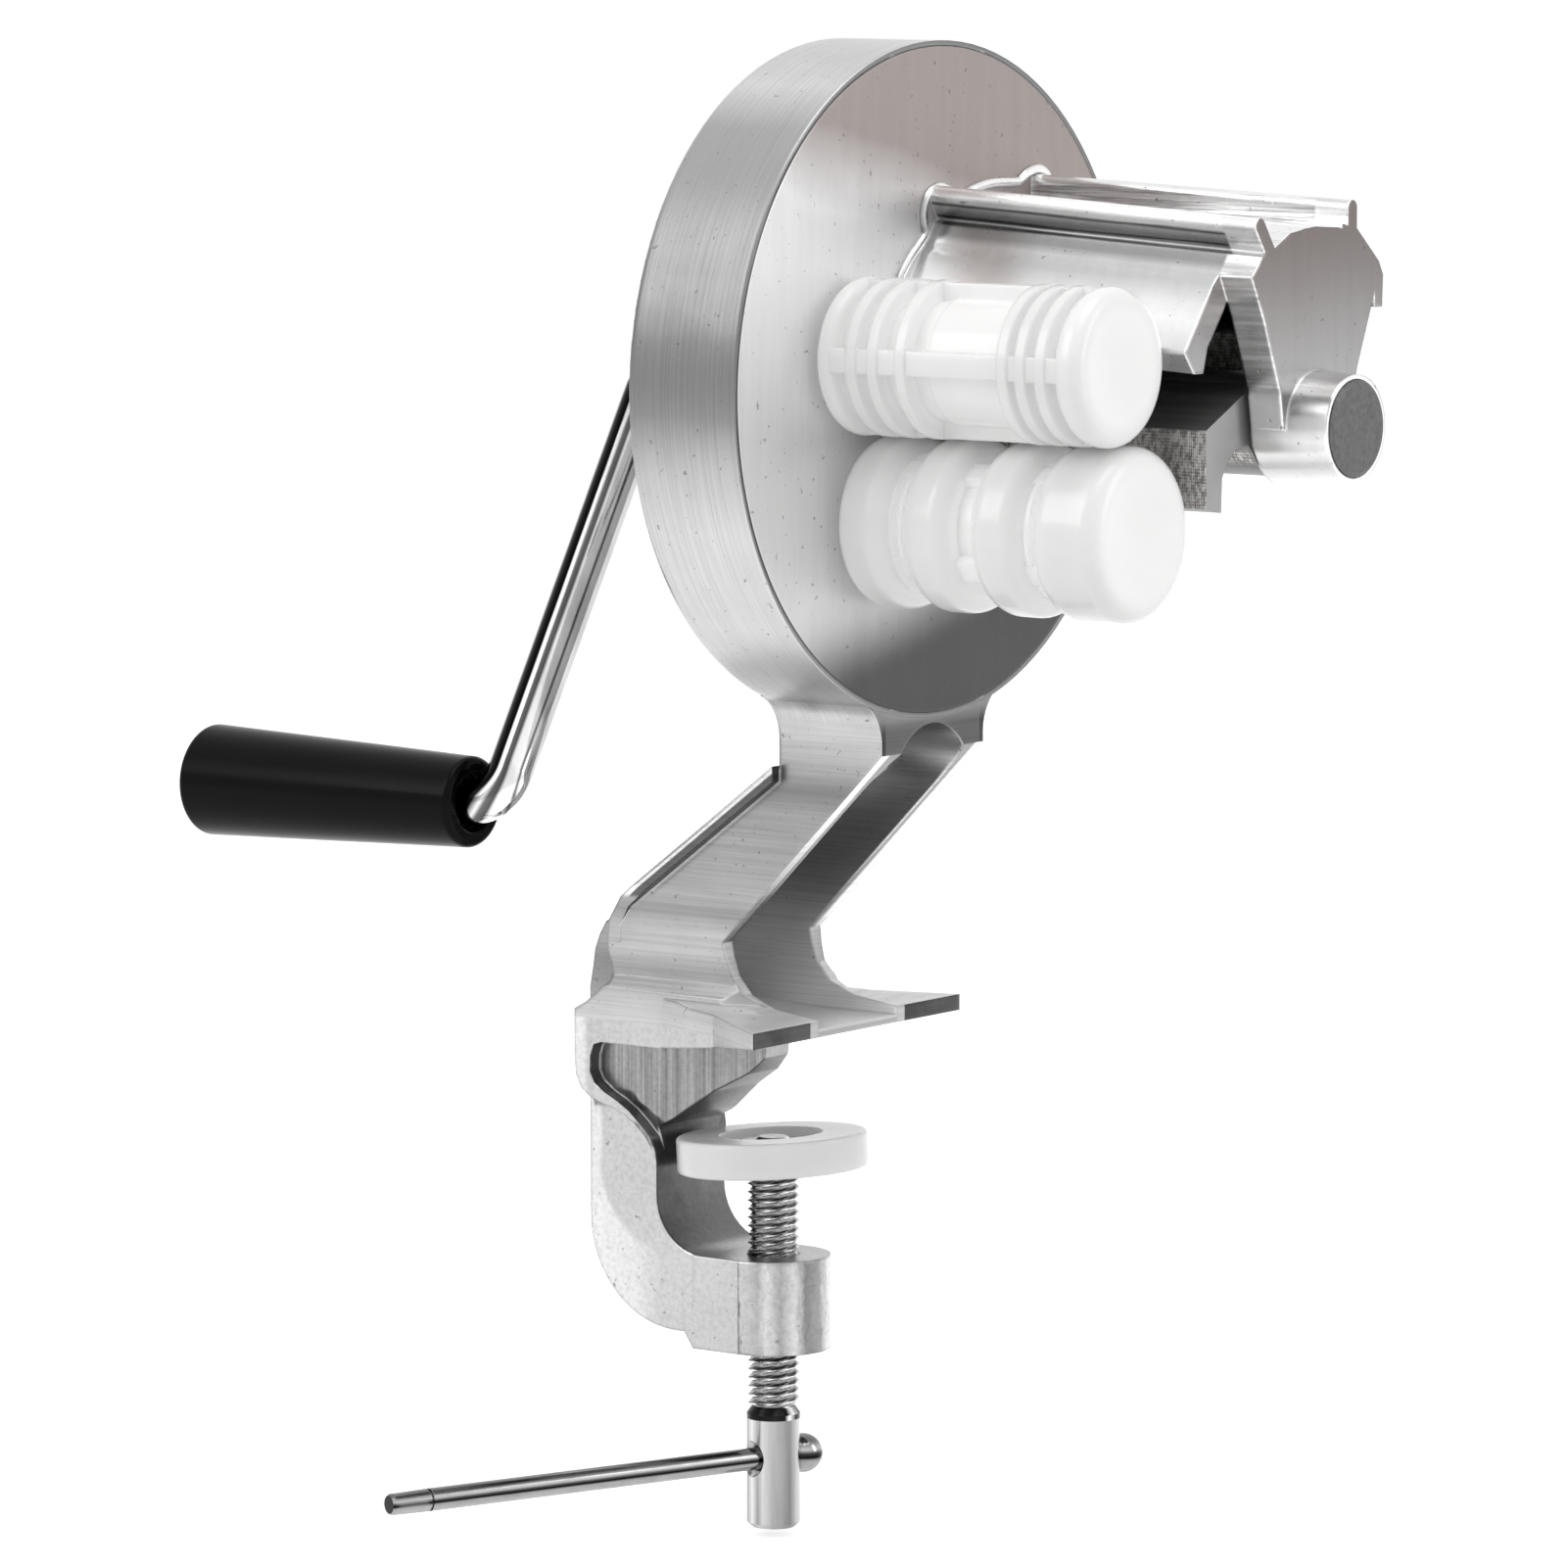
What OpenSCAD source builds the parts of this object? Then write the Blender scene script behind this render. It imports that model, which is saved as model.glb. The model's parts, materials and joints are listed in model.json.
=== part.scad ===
// Hand cranked cavatelli maker with table clamp.
// Millimetres. +Z is up, +X runs out of the drum face along the rollers,
// the origin is on the clamp screw axis in the plane the feet stand on.

/* [Drum] */
// Outside diameter of the gear drum
drum_d = 140; // [130:0.5:150]
// Height of the drum axis above the table
axis_h = 137.4; // [132:0.2:146]
// Drum front face ahead of the clamp screw axis
face_x = 42.5; // [40:0.1:46]
// Depth of the drum from front to back
drum_depth = 27.4; // [26.5:0.1:34]
// Thickness of the drum rim
rim_t = 4; // [3:0.1:5]
// Thickness of the drum back
back_t = 4; // [3:0.1:5]
// Rounding of the back edge of the drum
edge_r = 1.8; // [0.5:0.1:2.5]
// Thickness of the thin lip around the cover
lip_t = 1; // [0.8:0.1:1.6]
// Depth of the recess that takes the cover flange
lip_depth = 3; // [2:0.1:3.6]
// Gap around the cover flange
seat_clear = 0.06; // [0.04:0.01:0.2]

/* [Cover and hood] */
// Thickness of the cover disc
cover_t = 5; // [4.4:0.1:6]
// Length of the feed hood from the cover face
hood_len = 78; // [72:0.5:86]
// Thickness of the outboard bearing bracket
bracket_t = 8; // [6:0.1:9]
// Reach of the bearing boss past the bracket
boss_reach = 9.5; // [8:0.1:12]
// Radius of the bearing boss at the bracket
boss_r = 12.2; // [11.8:0.1:13]
// Radius of the bearing boss at its free end
boss_tip_r = 11; // [10.8:0.1:11.8]
// Downward taper of the hood towards its free end, in degrees
hood_pitch = 3.5; // [2:0.1:4]
// Sideways taper of the hood towards its free end, in degrees
hood_yaw = 3.1; // [1:0.1:3.5]
// Thickness of the two rails on the hood
rail_t = 3.2; // [2.4:0.1:3.8]
// Length of the leaning left rail on the hood
rail_left_h = 7.6; // [6:0.1:9]
// Height of the right rail on the hood
rail_right_h = 6.4; // [5:0.1:7]
// Gap between the roller guard and the upper roller
guard_gap = 1.3; // [1:0.1:2]
// Gap between the guard and the cutter sweep
sweep_gap = 1; // [0.8:0.1:1.6]

/* [Rollers] */
// Gap between the two rollers
nip = 0.9; // [0.7:0.1:1.4]
// Radius of the upper roller as a share of the room for both rollers
upper_share = 0.475; // [0.46:0.005:0.48]
// Length of both rollers
roller_len = 64.5; // [62:0.5:66]
// Gap between the cover face and the rollers
roller_gap = 2; // [1.6:0.1:3]
// Radius of the roller cores
core_r = 12.4; // [11.4:0.1:12.8]
// Radius of the roller shafts
shaft_r = 5; // [4.6:0.1:5.4]
// Width of the long bars along the rollers
bar_w = 5; // [3.6:0.1:6]
// Rounding of the roller end edges
roller_round = 3.6; // [2:0.1:5]
// Width of the fins on the upper roller
fin_w = 2.5; // [1.6:0.1:2.8]
// Rounding of the collars on the lower roller
collar_round = 4; // [3:0.1:4.4]
// Width of the collars on the lower roller
collar_w = 11.8; // [10:0.1:12]
// Radius of the thin rings between the collars
ring_r = 14.6; // [13:0.1:15.6]
// Width of the thin rings between the collars
ring_w = 1.2; // [1:0.1:1.4]

/* [Cutter] */
// Gap between the lower roller and the sweep of the cutter
cutter_gap = 1.36; // [1:0.02:2]
// Radius of the cutter hub
hub_r = 10.6; // [9.6:0.1:11.4]
// Radius of the cutter shaft
cutter_shaft_r = 6; // [5.4:0.1:6.4]
// Gap between the cutter and the outboard bracket
cutter_end_gap = 1.5; // [1:0.1:2.5]

/* [Gears] */
// Teeth on the crank pinion
pinion_z = 14; // [14:1:14]
// Teeth on the large gear of the lower roller
lower_z = 42; // [42:1:42]
// Teeth on the gears that join the two rollers
pair_z = 28; // [28:1:28]
// Teeth on the cutter gear
cutter_z = 26; // [26:1:26]
// Width of the gear teeth
gear_w = 7.4; // [6:0.1:7.6]
// Tooth height above the pitch circle as a share of the module
tooth_share = 0.85; // [0.75:0.01:0.9]
// Tooth side play at the pitch circle
tooth_play = 0.16; // [0.12:0.01:0.3]
// End play of the gears in the drum
gear_play = 0.3; // [0.2:0.05:0.4]

/* [Bearings] */
// Running clearance of the shafts in their bushes
run_clear = 0.04; // [0.02:0.01:0.08]
// Wall of the bearing bushes
bush_wall = 2; // [1.6:0.1:2.4]
// Reach of the bearing bosses behind the drum
back_boss = 6; // [5:0.1:8]
// Reach of the crank bearing boss behind the drum
crank_boss = 12; // [9:0.1:16]
// Radius of the crank bearing boss
crank_boss_r = 12; // [11:0.1:13]

/* [Crank] */
// Radius of the crank rod
rod_r = 4.75; // [4.4:0.05:5]
// Throw of the crank from its axis to the grip axis
crank_throw = 103.6; // [98:0.2:108]
// Centreline radius of the two bends
bend_r = 7; // [6:0.1:9]
// Plane of the crank arm behind the clamp screw axis
arm_x = -30.7; // [-34:0.1:-30]
// Swing of the arm from straight down, in degrees
arm_turn = 31.6; // [20:0.1:40]
// Length of the grip
grip_len = 71.5; // [66:0.5:80]
// Radius of the grip next to the arm
grip_r1 = 9.6; // [9:0.1:11]
// Radius of the grip at its free end
grip_r2 = 11.8; // [11:0.1:13]
// Gap between the crank arm and the grip
grip_gap = 1.5; // [1:0.1:3]

/* [Leg and feet] */
// Half width of the neck and leg
neck_half = 18; // [17:0.1:19]
// Radius where the neck flares into the drum
flare_r = 10; // [8:0.1:12]
// Half width of the channel in the leg
channel_half = 13.8; // [12:0.1:14.4]
// Set back of the neck front from the drum face
neck_set = 1; // [0.5:0.1:1.6]
// Height where the leg starts to slant back
slant_z = 60.6; // [58:0.2:63]
// Height of the knee above the feet
knee_z = 18.4; // [17:0.2:20]
// Front of the knee from the clamp screw axis
knee_x = -0.4; // [-2:0.1:1]
// Back of the leg where the slant begins
slant_back_z = 57; // [54:0.2:58]
// Height of the top of the spine
spine_top_z = 26.6; // [25:0.2:28]
// Back of the leg at the top of the spine
spine_top_x = -25.4; // [-26:0.1:-23]
// Thickness of the channel floor
floor_t = 4.4; // [3.6:0.1:5.4]
// Half width of the flange along the back of the leg
rib_half = 20.6; // [19.4:0.1:22]
// Thickness of the flange along the back of the leg
rib_t = 2.6; // [1.8:0.1:3]
// Front of the foot tips from the clamp screw axis
foot_x = 22.2; // [20:0.1:26]
// Thickness of the foot tips
foot_t = 3.4; // [3:0.1:4.4]
// Outer half spread of the foot tips
foot_out = 36.8; // [34:0.2:40]
// Inner half spread of the foot tips
foot_in = 18; // [16:0.2:20]
// Half width of the table plate at its back
plate_half = 17.5; // [17:0.1:18]

/* [Clamp frame] */
// Back face of the spine from the clamp screw axis
spine_x = -39.6; // [-42:0.1:-38]
// Half width of the spine
spine_half = 12; // [11:0.1:12.2]
// Front of the spine in the throat
throat_x = -22; // [-23:0.1:-21.6]
// Height of the throat floor, below the feet
throat_z = -49.8; // [-54:0.2:-48]
// Radius of the throat corner
throat_r = 12; // [10:0.1:13]
// Radius of the outer corner of the frame
elbow_r = 23; // [21:0.1:24]
// Underside of the clamp arm, below the feet
arm_z = -66.4; // [-70:0.2:-65]
// Radius of the nut boss
nut_r = 12.2; // [12.2:0.1:13]
// Height of the nut boss
nut_h = 20; // [18:0.2:22]
// Depth of the side rim below the feet
side_rim = 5.3; // [5:0.1:6]
// Depth of the gusset below the feet
gusset_h = 31; // [29:0.2:33]
// Depth of the pockets in the sides of the gusset
pocket_t = 3.4; // [2.6:0.1:4]
// Back of the waist above the table plate
waist_x = -30; // [-32:0.1:-29]

/* [Clamp screw] */
// Outside radius of the clamp screw thread
thread_r = 5.55; // [5.4:0.05:5.6]
// Pitch of the clamp screw thread
pitch = 1.81; // [1.7:0.01:2]
// Depth of the thread
thread_d = 0.95; // [0.8:0.05:1]
// Thread clearance in the nut boss
nut_clear = 0.1; // [0.06:0.01:0.2]
// Top of the threaded length, below the feet
thread_top = -31.9; // [-33:0.1:-31.5]
// Bottom of the threaded length, below the feet
thread_bottom = -81.9; // [-86:0.1:-80]
// Bottom of the plain shank, below the feet
shank_bottom = -108.4; // [-114:0.1:-105]
// Radius of the plain shank
shank_r = 5.7; // [5.4:0.05:5.9]
// Radius of the spigot that carries the pad
spigot_r = 3.05; // [2.8:0.05:3.2]
// Side play of the pad on its spigot
pad_play = 0.8; // [0.7:0.05:1]
// Height of the handle bar axis, below the feet
tommy_z = -93.5; // [-96:0.1:-92]
// Radius of the handle bar
tommy_r = 2.4; // [2:0.05:2.6]
// Length of the handle bar on its long side
tommy_long = 95; // [80:0.5:105]
// Distance of the handle bar knob from the screw axis
tommy_short = 7.5; // [7.3:0.1:8.5]
// Radius of the knob on the handle bar
knob_r = 4.2; // [3.9:0.1:4.4]
// Swing of the handle bar from the left side, in degrees
tommy_turn = 20.2; // [10:0.1:30]
// Radius of the clamp pad
pad_r = 20.3; // [18:0.1:20.4]
// Thickness of the clamp pad
pad_t = 7.6; // [7:0.1:8.4]
// Top of the clamp pad, below the feet
pad_top = -24; // [-24.4:0.1:-23.6]
// Tilt of the loose clamp pad, in degrees
pad_tilt = 3.4; // [0:0.1:4]

/* [Fasteners] */
// Radius of the cover screws
screw_r = 2.5; // [2.2:0.1:3]
// Radius of the cover screw heads
head_r = 4.6; // [4.2:0.1:5.2]
// Height of the cover screw heads
head_h = 3; // [2.4:0.1:3.6]
// Distance of the cover screws from the rim of the drum
screw_inset = 9; // [8:0.2:11]
// Radius of the screw posts
post_r = 6; // [5.4:0.1:7]
// Width of the shaft keys
key_w = 2.4; // [2:0.1:3]
// Radius of the cross pins
pin_r = 1.5; // [1.2:0.1:2]

/* [Hidden] */
$fn = 72;
cut = 0.5 * lip_t;
drum_r = drum_d / 2;
back_x = face_x - drum_depth;
room_x0 = back_x + back_t;
gear_m = drum_d / (4 * pair_z);
press_turn = 20;
room_r = drum_r - rim_t;
cover_back = face_x - cover_t;
gear_x1 = room_x0 + gear_play;
boss_back = gear_x1 + 2 * gear_w + 1.9 * lip_t + gear_play;
gear_x2 = boss_back - gear_play - gear_w;
centre_ab = gear_m * pair_z;
centre_db = gear_m * (pinion_z + lower_z) / 2;
centre_dc = gear_m * (pinion_z + cutter_z) / 2;
turn_b = 231.5;
turn_ba = 103;
turn_c = -17.9;
lower_y = centre_db * cos(turn_b);
lower_z0 = axis_h + centre_db * sin(turn_b);
upper_y = lower_y + centre_ab * cos(turn_ba);
upper_z0 = lower_z0 + centre_ab * sin(turn_ba);
cut_y = centre_dc * cos(turn_c);
cut_z = axis_h + centre_dc * sin(turn_c);
roller_x = face_x + roller_gap;
upper_r = upper_share * (centre_ab - nip);
lower_r = centre_ab - nip - upper_r;
cutter_r = sqrt(pow(cut_y - lower_y, 2) + pow(cut_z - lower_z0, 2)) - lower_r - cutter_gap;
cutter_len = hood_len - bracket_t - roller_gap - cutter_end_gap;
screw_circle = drum_r - screw_inset;
bush_r = shaft_r + bush_wall;
cut_bush_r = cutter_shaft_r + bush_wall;
crank_bush_r = rod_r + bush_wall;
bracket_x = face_x + hood_len - bracket_t;
cutter_x = face_x + roller_gap;
rail_lean = 35;
side_ratio_share = 0.7;
end_x = face_x + hood_len + boss_reach;

// Extrudes a side view, drawn as X and Z, evenly to both sides of the middle
module from_side(half) {
    translate([0, half, 0])
        rotate([90, 0, 0])
            linear_extrude(2 * half) children();
}

// Extrudes a front view, drawn as Y and Z, from x0 forwards
module from_front(x0, len) {
    translate([x0, 0, 0])
        rotate([90, 0, 90])
            linear_extrude(len) children();
}

// Cylinder along X at a given Y and Z
module bar_x(x0, len, r, y = 0, z = axis_h) {
    translate([x0, y, z])
        rotate([0, 90, 0]) cylinder(h = len, r = r);
}

// Cone along X at a given Y and Z
module cone_x(x0, len, ra, rb, y = 0, z = axis_h) {
    translate([x0, y, z])
        rotate([0, 90, 0]) cylinder(h = len, r1 = ra, r2 = rb);
}

// Disc with rounded edges along X
module round_disc(x0, len, r, rr, y, z) {
    translate([x0, y, z]) rotate([0, 90, 0]) {
        translate([0, 0, rr]) cylinder(h = len - 2 * rr, r = r);
        cylinder(h = len, r = r - rr);
        translate([0, 0, rr]) rotate_extrude() translate([r - rr, 0]) circle(rr);
        translate([0, 0, len - rr]) rotate_extrude() translate([r - rr, 0]) circle(rr);
    }
}

function involute(a) = tan(a) * 180 / PI - a;
function flank(z, r) = let (rb = gear_m * z / 2 * cos(press_turn))
    90 / z + involute(press_turn) - (r > rb ? involute(acos(rb / r)) : 0)
    - tooth_play / (gear_m * z) * 180 / PI;

// Spur gear along X with involute teeth, tooth centre at the given angle
module gear(z, x0, len, y, zz, phase, hole) {
    rp = gear_m * z / 2;
    ra = rp + tooth_share * gear_m;
    rd = rp - 1.2 * gear_m;
    steps = [rd, (rd + rp) / 2, rp, (rp + ra) / 2, ra];
    pts = [for (t = [0:z - 1], s = [0:9])
        let (k = s < 5 ? s : 9 - s, r = steps[k], sgn = s < 5 ? -1 : 1)
        let (a = phase + 360 * t / z + sgn * flank(z, r))
        [r * cos(a), r * sin(a)]];
    difference() {
        translate([0, y, zz]) from_front(x0, len) polygon(pts);
        bar_x(x0 - cut, len + 2 * cut, hole, y, zz);
    }
}

// Keyway or key seated half in the shaft and half in the gear
module key_block(x0, len, r, y, z, play = 0) {
    translate([x0 - play, y - key_w / 2 - play, z + r - key_w / 2 - play])
        cube([len + 2 * play, key_w + 2 * play, key_w + 2 * play]);
}

// Places children at the cover screws
module screw_places() {
    for (a = [90, 165, 285, 345])
        translate([0, screw_circle * cos(a), axis_h + screw_circle * sin(a)]) children();
}

module drum_shell() {
    bar_x(back_x + edge_r, drum_depth - edge_r, drum_r);
    bar_x(back_x, drum_depth, drum_r - edge_r);
    translate([back_x + edge_r, 0, axis_h]) rotate([0, 90, 0])
        rotate_extrude() translate([drum_r - edge_r, 0]) circle(edge_r);
    bar_x(back_x - crank_boss, crank_boss + back_t, crank_boss_r);
    for (p = [[upper_y, upper_z0, bush_r], [lower_y, lower_z0, bush_r],
            [cut_y, cut_z, cut_bush_r]])
        cone_x(back_x - back_boss, back_boss + back_t, p[2] + 1.6 * bush_wall,
            p[2] + 2 * bush_wall, p[0], p[1]);
}

module drum_room() {
    difference() {
        bar_x(room_x0, drum_depth, room_r);
        screw_places() rotate([0, 90, 0]) cylinder(h = cover_back - cut * seat_clear, r = post_r);
    }
    bar_x(face_x - lip_depth, drum_depth, drum_r - lip_t);
}

// Side view of the neck, the leg and the table plate
module leg_side() {
    nose = foot_x - knee_x;
    waist = waist_x - spine_x;
    polygon([[face_x - neck_set, axis_h - room_r + rim_t], [face_x - neck_set, slant_z],
        [knee_x, knee_z], [knee_x + 0.03 * nose, 0.82 * knee_z],
        [knee_x + 0.09 * nose, 0.61 * knee_z], [knee_x + 0.24 * nose, 0.4 * knee_z],
        [knee_x + 0.5 * nose, 0.27 * knee_z], [foot_x, foot_t], [foot_x, 0],
        [0.42 * spine_x, -side_rim],
        [spine_x, -side_rim], [spine_x, 0.4 * foot_t],
        [spine_x + 0.32 * waist, 0.9 * foot_t], [spine_x + 0.64 * waist, 1.6 * foot_t],
        [spine_x + 0.95 * waist, 2.35 * foot_t], [waist_x, 3 * foot_t],
        [waist_x - 0.1 * waist, 0.75 * knee_z], [waist_x - 0.08 * waist, 0.95 * knee_z],
        [waist_x, knee_z + rib_t], [spine_top_x, spine_top_z], [back_x, slant_back_z],
        [back_x, axis_h - room_r + rim_t]]);
}

// Front view of the neck, the leg and the splayed feet
module leg_front() {
    far = neck_half + flare_r;
    tang = far * drum_r / (drum_r + flare_r);
    zc = axis_h - sqrt(pow(drum_r + 0.98 * flare_r, 2) - pow(far, 2));
    difference() {
        union() {
            translate([-neck_half, 1.3 * knee_z])
                square([2 * neck_half, axis_h - room_r - 0.3 * knee_z]);
            translate([-tang, zc]) square([2 * tang, axis_h - room_r + rim_t - zc]);
            polygon([for (s = [1, -1], k = [0:8]) let (n = s > 0 ? k : 8 - k)
                [s * [neck_half, neck_half, 0.96 * neck_half, 0.91 * neck_half,
                    0.91 * neck_half, 0.98 * neck_half, 1.17 * neck_half, foot_out,
                    foot_out][n],
                [knee_z + 4 * foot_t, 1.35 * knee_z, 0.92 * knee_z, 0.65 * knee_z,
                    0.52 * knee_z, 0.36 * knee_z, 0.25 * knee_z, foot_t, -side_rim][n]]]);
        }
        for (s = [1, -1]) translate([s * far, zc]) circle(flare_r);
    }
}

// Plan view of the table plate with its two splayed feet
module feet_plan() {
    difference() {
        polygon([for (s = [1, -1], k = [0:5]) let (n = s > 0 ? k : 5 - k)
            [[spine_x, 0.42 * spine_x, 0.1 * foot_x, foot_x, foot_x, face_x][n],
            s * [plate_half, plate_half, 1.38 * plate_half, foot_out, 0, 0][n]]]);
        polygon([for (s = [1, -1], k = [0:2]) let (n = s > 0 ? k : 2 - k)
            [[0.1 * spine_x, 0.05 * spine_x, foot_x + foot_t][n],
            s * [0.45 * foot_in, 0.64 * foot_in, foot_in + foot_t * 0.26][n]]]);
    }
}

module leg() {
    rise = slant_back_z - spine_top_z;
    run = back_x - spine_top_x;
    slope = sqrt(rise * rise + run * run);
    ox = floor_t * rise / slope;
    oz = floor_t * run / slope;
    difference() {
        intersection() {
            from_side(foot_out + cut) leg_side();
            from_front(spine_x - cut, 2 * face_x - spine_x) leg_front();
            union() {
                translate([spine_x, -neck_half - flare_r, knee_z])
                    cube([face_x - spine_x, 2 * (neck_half + flare_r), axis_h]);
                translate([0, 0, foot_t]) linear_extrude(knee_z) polygon([
                    for (s = [1, -1], k = [0:2]) let (n = s > 0 ? k : 2 - k)
                    [[spine_x, knee_x, face_x][n],
                    s * [plate_half, neck_half, 0.4 * channel_half][n]]]);
                translate([0, 0, -side_rim]) linear_extrude(side_rim + 1.6 * foot_t)
                    feet_plan();
            }
        }
        translate([0, 0, -side_rim - cut]) linear_extrude(side_rim + cut)
            polygon([for (s = [1, -1], k = [0:2]) let (n = s > 0 ? k : 2 - k)
                [[0.42 * spine_x, 0.1 * foot_x, foot_x + foot_t][n],
                s * ([plate_half, 1.38 * plate_half, 1.05 * foot_out][n] - 0.6 * foot_t)]]);
        intersection() {
            from_side(channel_half) polygon([[face_x + cut, axis_h], [back_x + floor_t, axis_h],
                [back_x + floor_t, slant_back_z - 0.7 * floor_t],
                [spine_top_x + ox, spine_top_z - oz],
                [waist_x + 0.5 * floor_t, knee_z],
                [waist_x + 0.5 * floor_t, 0.52 * knee_z],
                [waist_x + 1.5 * floor_t, 0.27 * knee_z],
                [0.45 * spine_x, 0.15 * knee_z], [0, 0.09 * knee_z],
                [foot_x + cut, 0.09 * knee_z], [face_x + cut, slant_z - neck_half]]);
            from_front(spine_x, face_x - spine_x + cut) union() {
                translate([-channel_half, -side_rim])
                    square([2 * channel_half, slant_z - 0.6 * channel_half + side_rim]);
                translate([0, slant_z - 0.6 * channel_half]) circle(channel_half);
            }
        }
    }
    intersection() {
        from_side(rib_half) polygon([[back_x, slant_back_z], [spine_top_x, spine_top_z],
            [waist_x, knee_z + rib_t], [waist_x - cut, 0.9 * knee_z],
            [waist_x + rib_t, 0.9 * knee_z], [waist_x + rib_t, knee_z + 0.5 * rib_t],
            [spine_top_x + rib_t * rise / slope, spine_top_z - rib_t * run / slope],
            [back_x, slant_back_z - rib_t * slope / run]]);
        from_front(spine_x, drum_d) difference() {
            polygon([for (s = [1, -1], k = [0:3]) let (n = s > 0 ? k : 3 - k)
                [s * [neck_half - cut, neck_half, rib_half, rib_half][n],
                [0.8 * knee_z, knee_z + rib_t, spine_top_z + rib_t, slant_back_z][n]]]);
            square([2 * channel_half, 2 * slant_z], center = true);
        }
    }
    from_side(spine_half) polygon([[spine_x, -side_rim], [spine_x, 1.6 * foot_t],
        [spine_x + 0.2 * floor_t, 0.55 * knee_z], [spine_x + 0.32 * floor_t, 0.75 * knee_z],
        [spine_x + 0.62 * floor_t, 0.93 * knee_z], [spine_x + floor_t, 1.08 * knee_z],
        [spine_x + 1.85 * floor_t, spine_top_z - 1.9 * rib_t],
        [spine_top_x - 0.4 * floor_t, spine_top_z - 0.2 * rib_t],
        [waist_x + 0.4 * floor_t, knee_z], [waist_x + 0.4 * floor_t, -side_rim]]);
}

// Side view of the clamp frame below the table plate
module spine_side() {
    difference() {
        union() {
            translate([spine_x, throat_z + throat_r])
                square([throat_x - spine_x, -throat_z - throat_r - 0.98 * gusset_h]);
            intersection() {
                translate([spine_x + elbow_r, arm_z + elbow_r]) circle(elbow_r);
                translate([spine_x, arm_z]) square([elbow_r, elbow_r]);
            }
            translate([spine_x, arm_z + elbow_r])
                square([elbow_r, throat_z + throat_r - arm_z - elbow_r + cut]);
            translate([spine_x + elbow_r - cut, arm_z])
                square([cut - spine_x - elbow_r, throat_z - arm_z + throat_r]);
        }
        translate([throat_x + throat_r, throat_z + throat_r]) circle(throat_r);
        translate([throat_x + throat_r, throat_z]) square([2 * throat_r, 2 * throat_r]);
        translate([throat_x, throat_z + throat_r]) square([2 * throat_r, 2 * throat_r]);
    }
}

// Outlines of the gusset, as shares of the spine depth and of the gusset depth
skirt_share = [[0, 0], [0, 0.27], [0.02, 0.41], [0.1, 0.5], [0.22, 0.56], [0.4, 0.6],
    [0.55, 0.63], [0.69, 0.67], [0.8, 0.73], [0.89, 0.81], [0.955, 0.9], [1, 1], [1.2, 1], [1.2, 0]];
pocket_share = [[0.4, 0.171], [0.29, 0.19], [0.235, 0.27], [0.23, 0.38], [0.3, 0.455],
    [0.46, 0.52], [0.64, 0.575], [0.76, 0.632], [0.87, 0.72], [0.966, 0.82], [1, 0.92],
    [1, 1.1], [3, 1.1], [3, 0.171]];
throat_share = [[0.1, 0], [0.1, 1], [1, 1], [1, 0.755], [1.23, 0.678], [1.43, 0.594],
    [1.7, 0.484], [2.1, 0.355], [2.3, 0.242], [2.38, 0]];
// Half widths down the gusset, as shares of its depth and of the side spread
flare_share = [[0, 1], [0.5, 1], [0.58, 0.91], [0.65, 0.73], [0.73, 0.51], [0.81, 0.29],
    [0.9, 0.11], [1, 0], [1.1, 0]];

// Side view outline of the gusset
module gusset_side(share) {
    polygon([for (p = share) [spine_x + p[0] * (throat_x - spine_x), -p[1] * gusset_h]]);
}

// Prism along X with the width of the gusset, narrower by the inset on both sides
module flared(inset) {
    n = len(flare_share) - 1;
    from_front(spine_x, drum_d) polygon([for (s = [1, -1], k = [0:n])
        let (p = flare_share[s > 0 ? k : n - k])
        [s * (spine_half - inset + p[1] * (plate_half - spine_half)), -p[0] * gusset_h]]);
}

module gusset() {
    wide = plate_half - pocket_t;
    from_side(spine_half) gusset_side(concat([for (k = [1:11]) skirt_share[k]],
        [[1, 1.1], [0, 1.1]]));
    difference() {
        intersection() {
            from_side(plate_half) gusset_side(skirt_share);
            flared(0);
        }
        from_side(2 * plate_half) gusset_side(pocket_share);
    }
    intersection() {
        from_side(plate_half) gusset_side(throat_share);
        flared(pocket_t);
        translate([0, 0, -2 * gusset_h]) linear_extrude(2 * gusset_h)
            polygon([for (s = [1, -1], k = [0:3]) let (n = s > 0 ? k : 3 - k)
                [[spine_x, 1.2 * throat_x, 1.05 * throat_x, -0.12 * throat_x][n],
                s * [wide, wide, 0.93 * wide, 0.24 * wide][n]]]);
    }
}

module body_casting() {
    color("silver") difference() {
        union() {
            drum_shell();
            leg();
            gusset();
            from_side(spine_half) spine_side();
            translate([0, 0, throat_z - nut_h]) cylinder(h = nut_h, r = nut_r);
            translate([-nut_r, -nut_r, throat_z - nut_h])
                cube([nut_r, 2 * nut_r, nut_h]);
            translate([-nut_r, 0, throat_z - nut_h]) rotate([90, 0, 0])
                translate([0, 0, -nut_r]) linear_extrude(2 * nut_r)
                    polygon([[0, 0], [-0.6 * rim_t, 0.9 * rim_t], [-0.6 * rim_t, 2 * rim_t],
                        [0, 2 * rim_t]]);
        }
        drum_room();
        bar_x(back_x - 2 * crank_boss, drum_depth + 2 * crank_boss - back_t, crank_bush_r);
        bar_x(back_x - back_boss + bush_wall, drum_depth, bush_r, upper_y, upper_z0);
        bar_x(back_x - back_boss + bush_wall, drum_depth, bush_r, lower_y, lower_z0);
        bar_x(back_x - back_boss + bush_wall, drum_depth, cut_bush_r, cut_y, cut_z);
        screw_places() rotate([0, 90, 0]) cylinder(h = face_x, r = screw_r + nut_clear);
        translate([0, 0, 2 * throat_z]) cylinder(h = -1.2 * throat_z, r = thread_r + nut_clear);
    }
}

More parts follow.
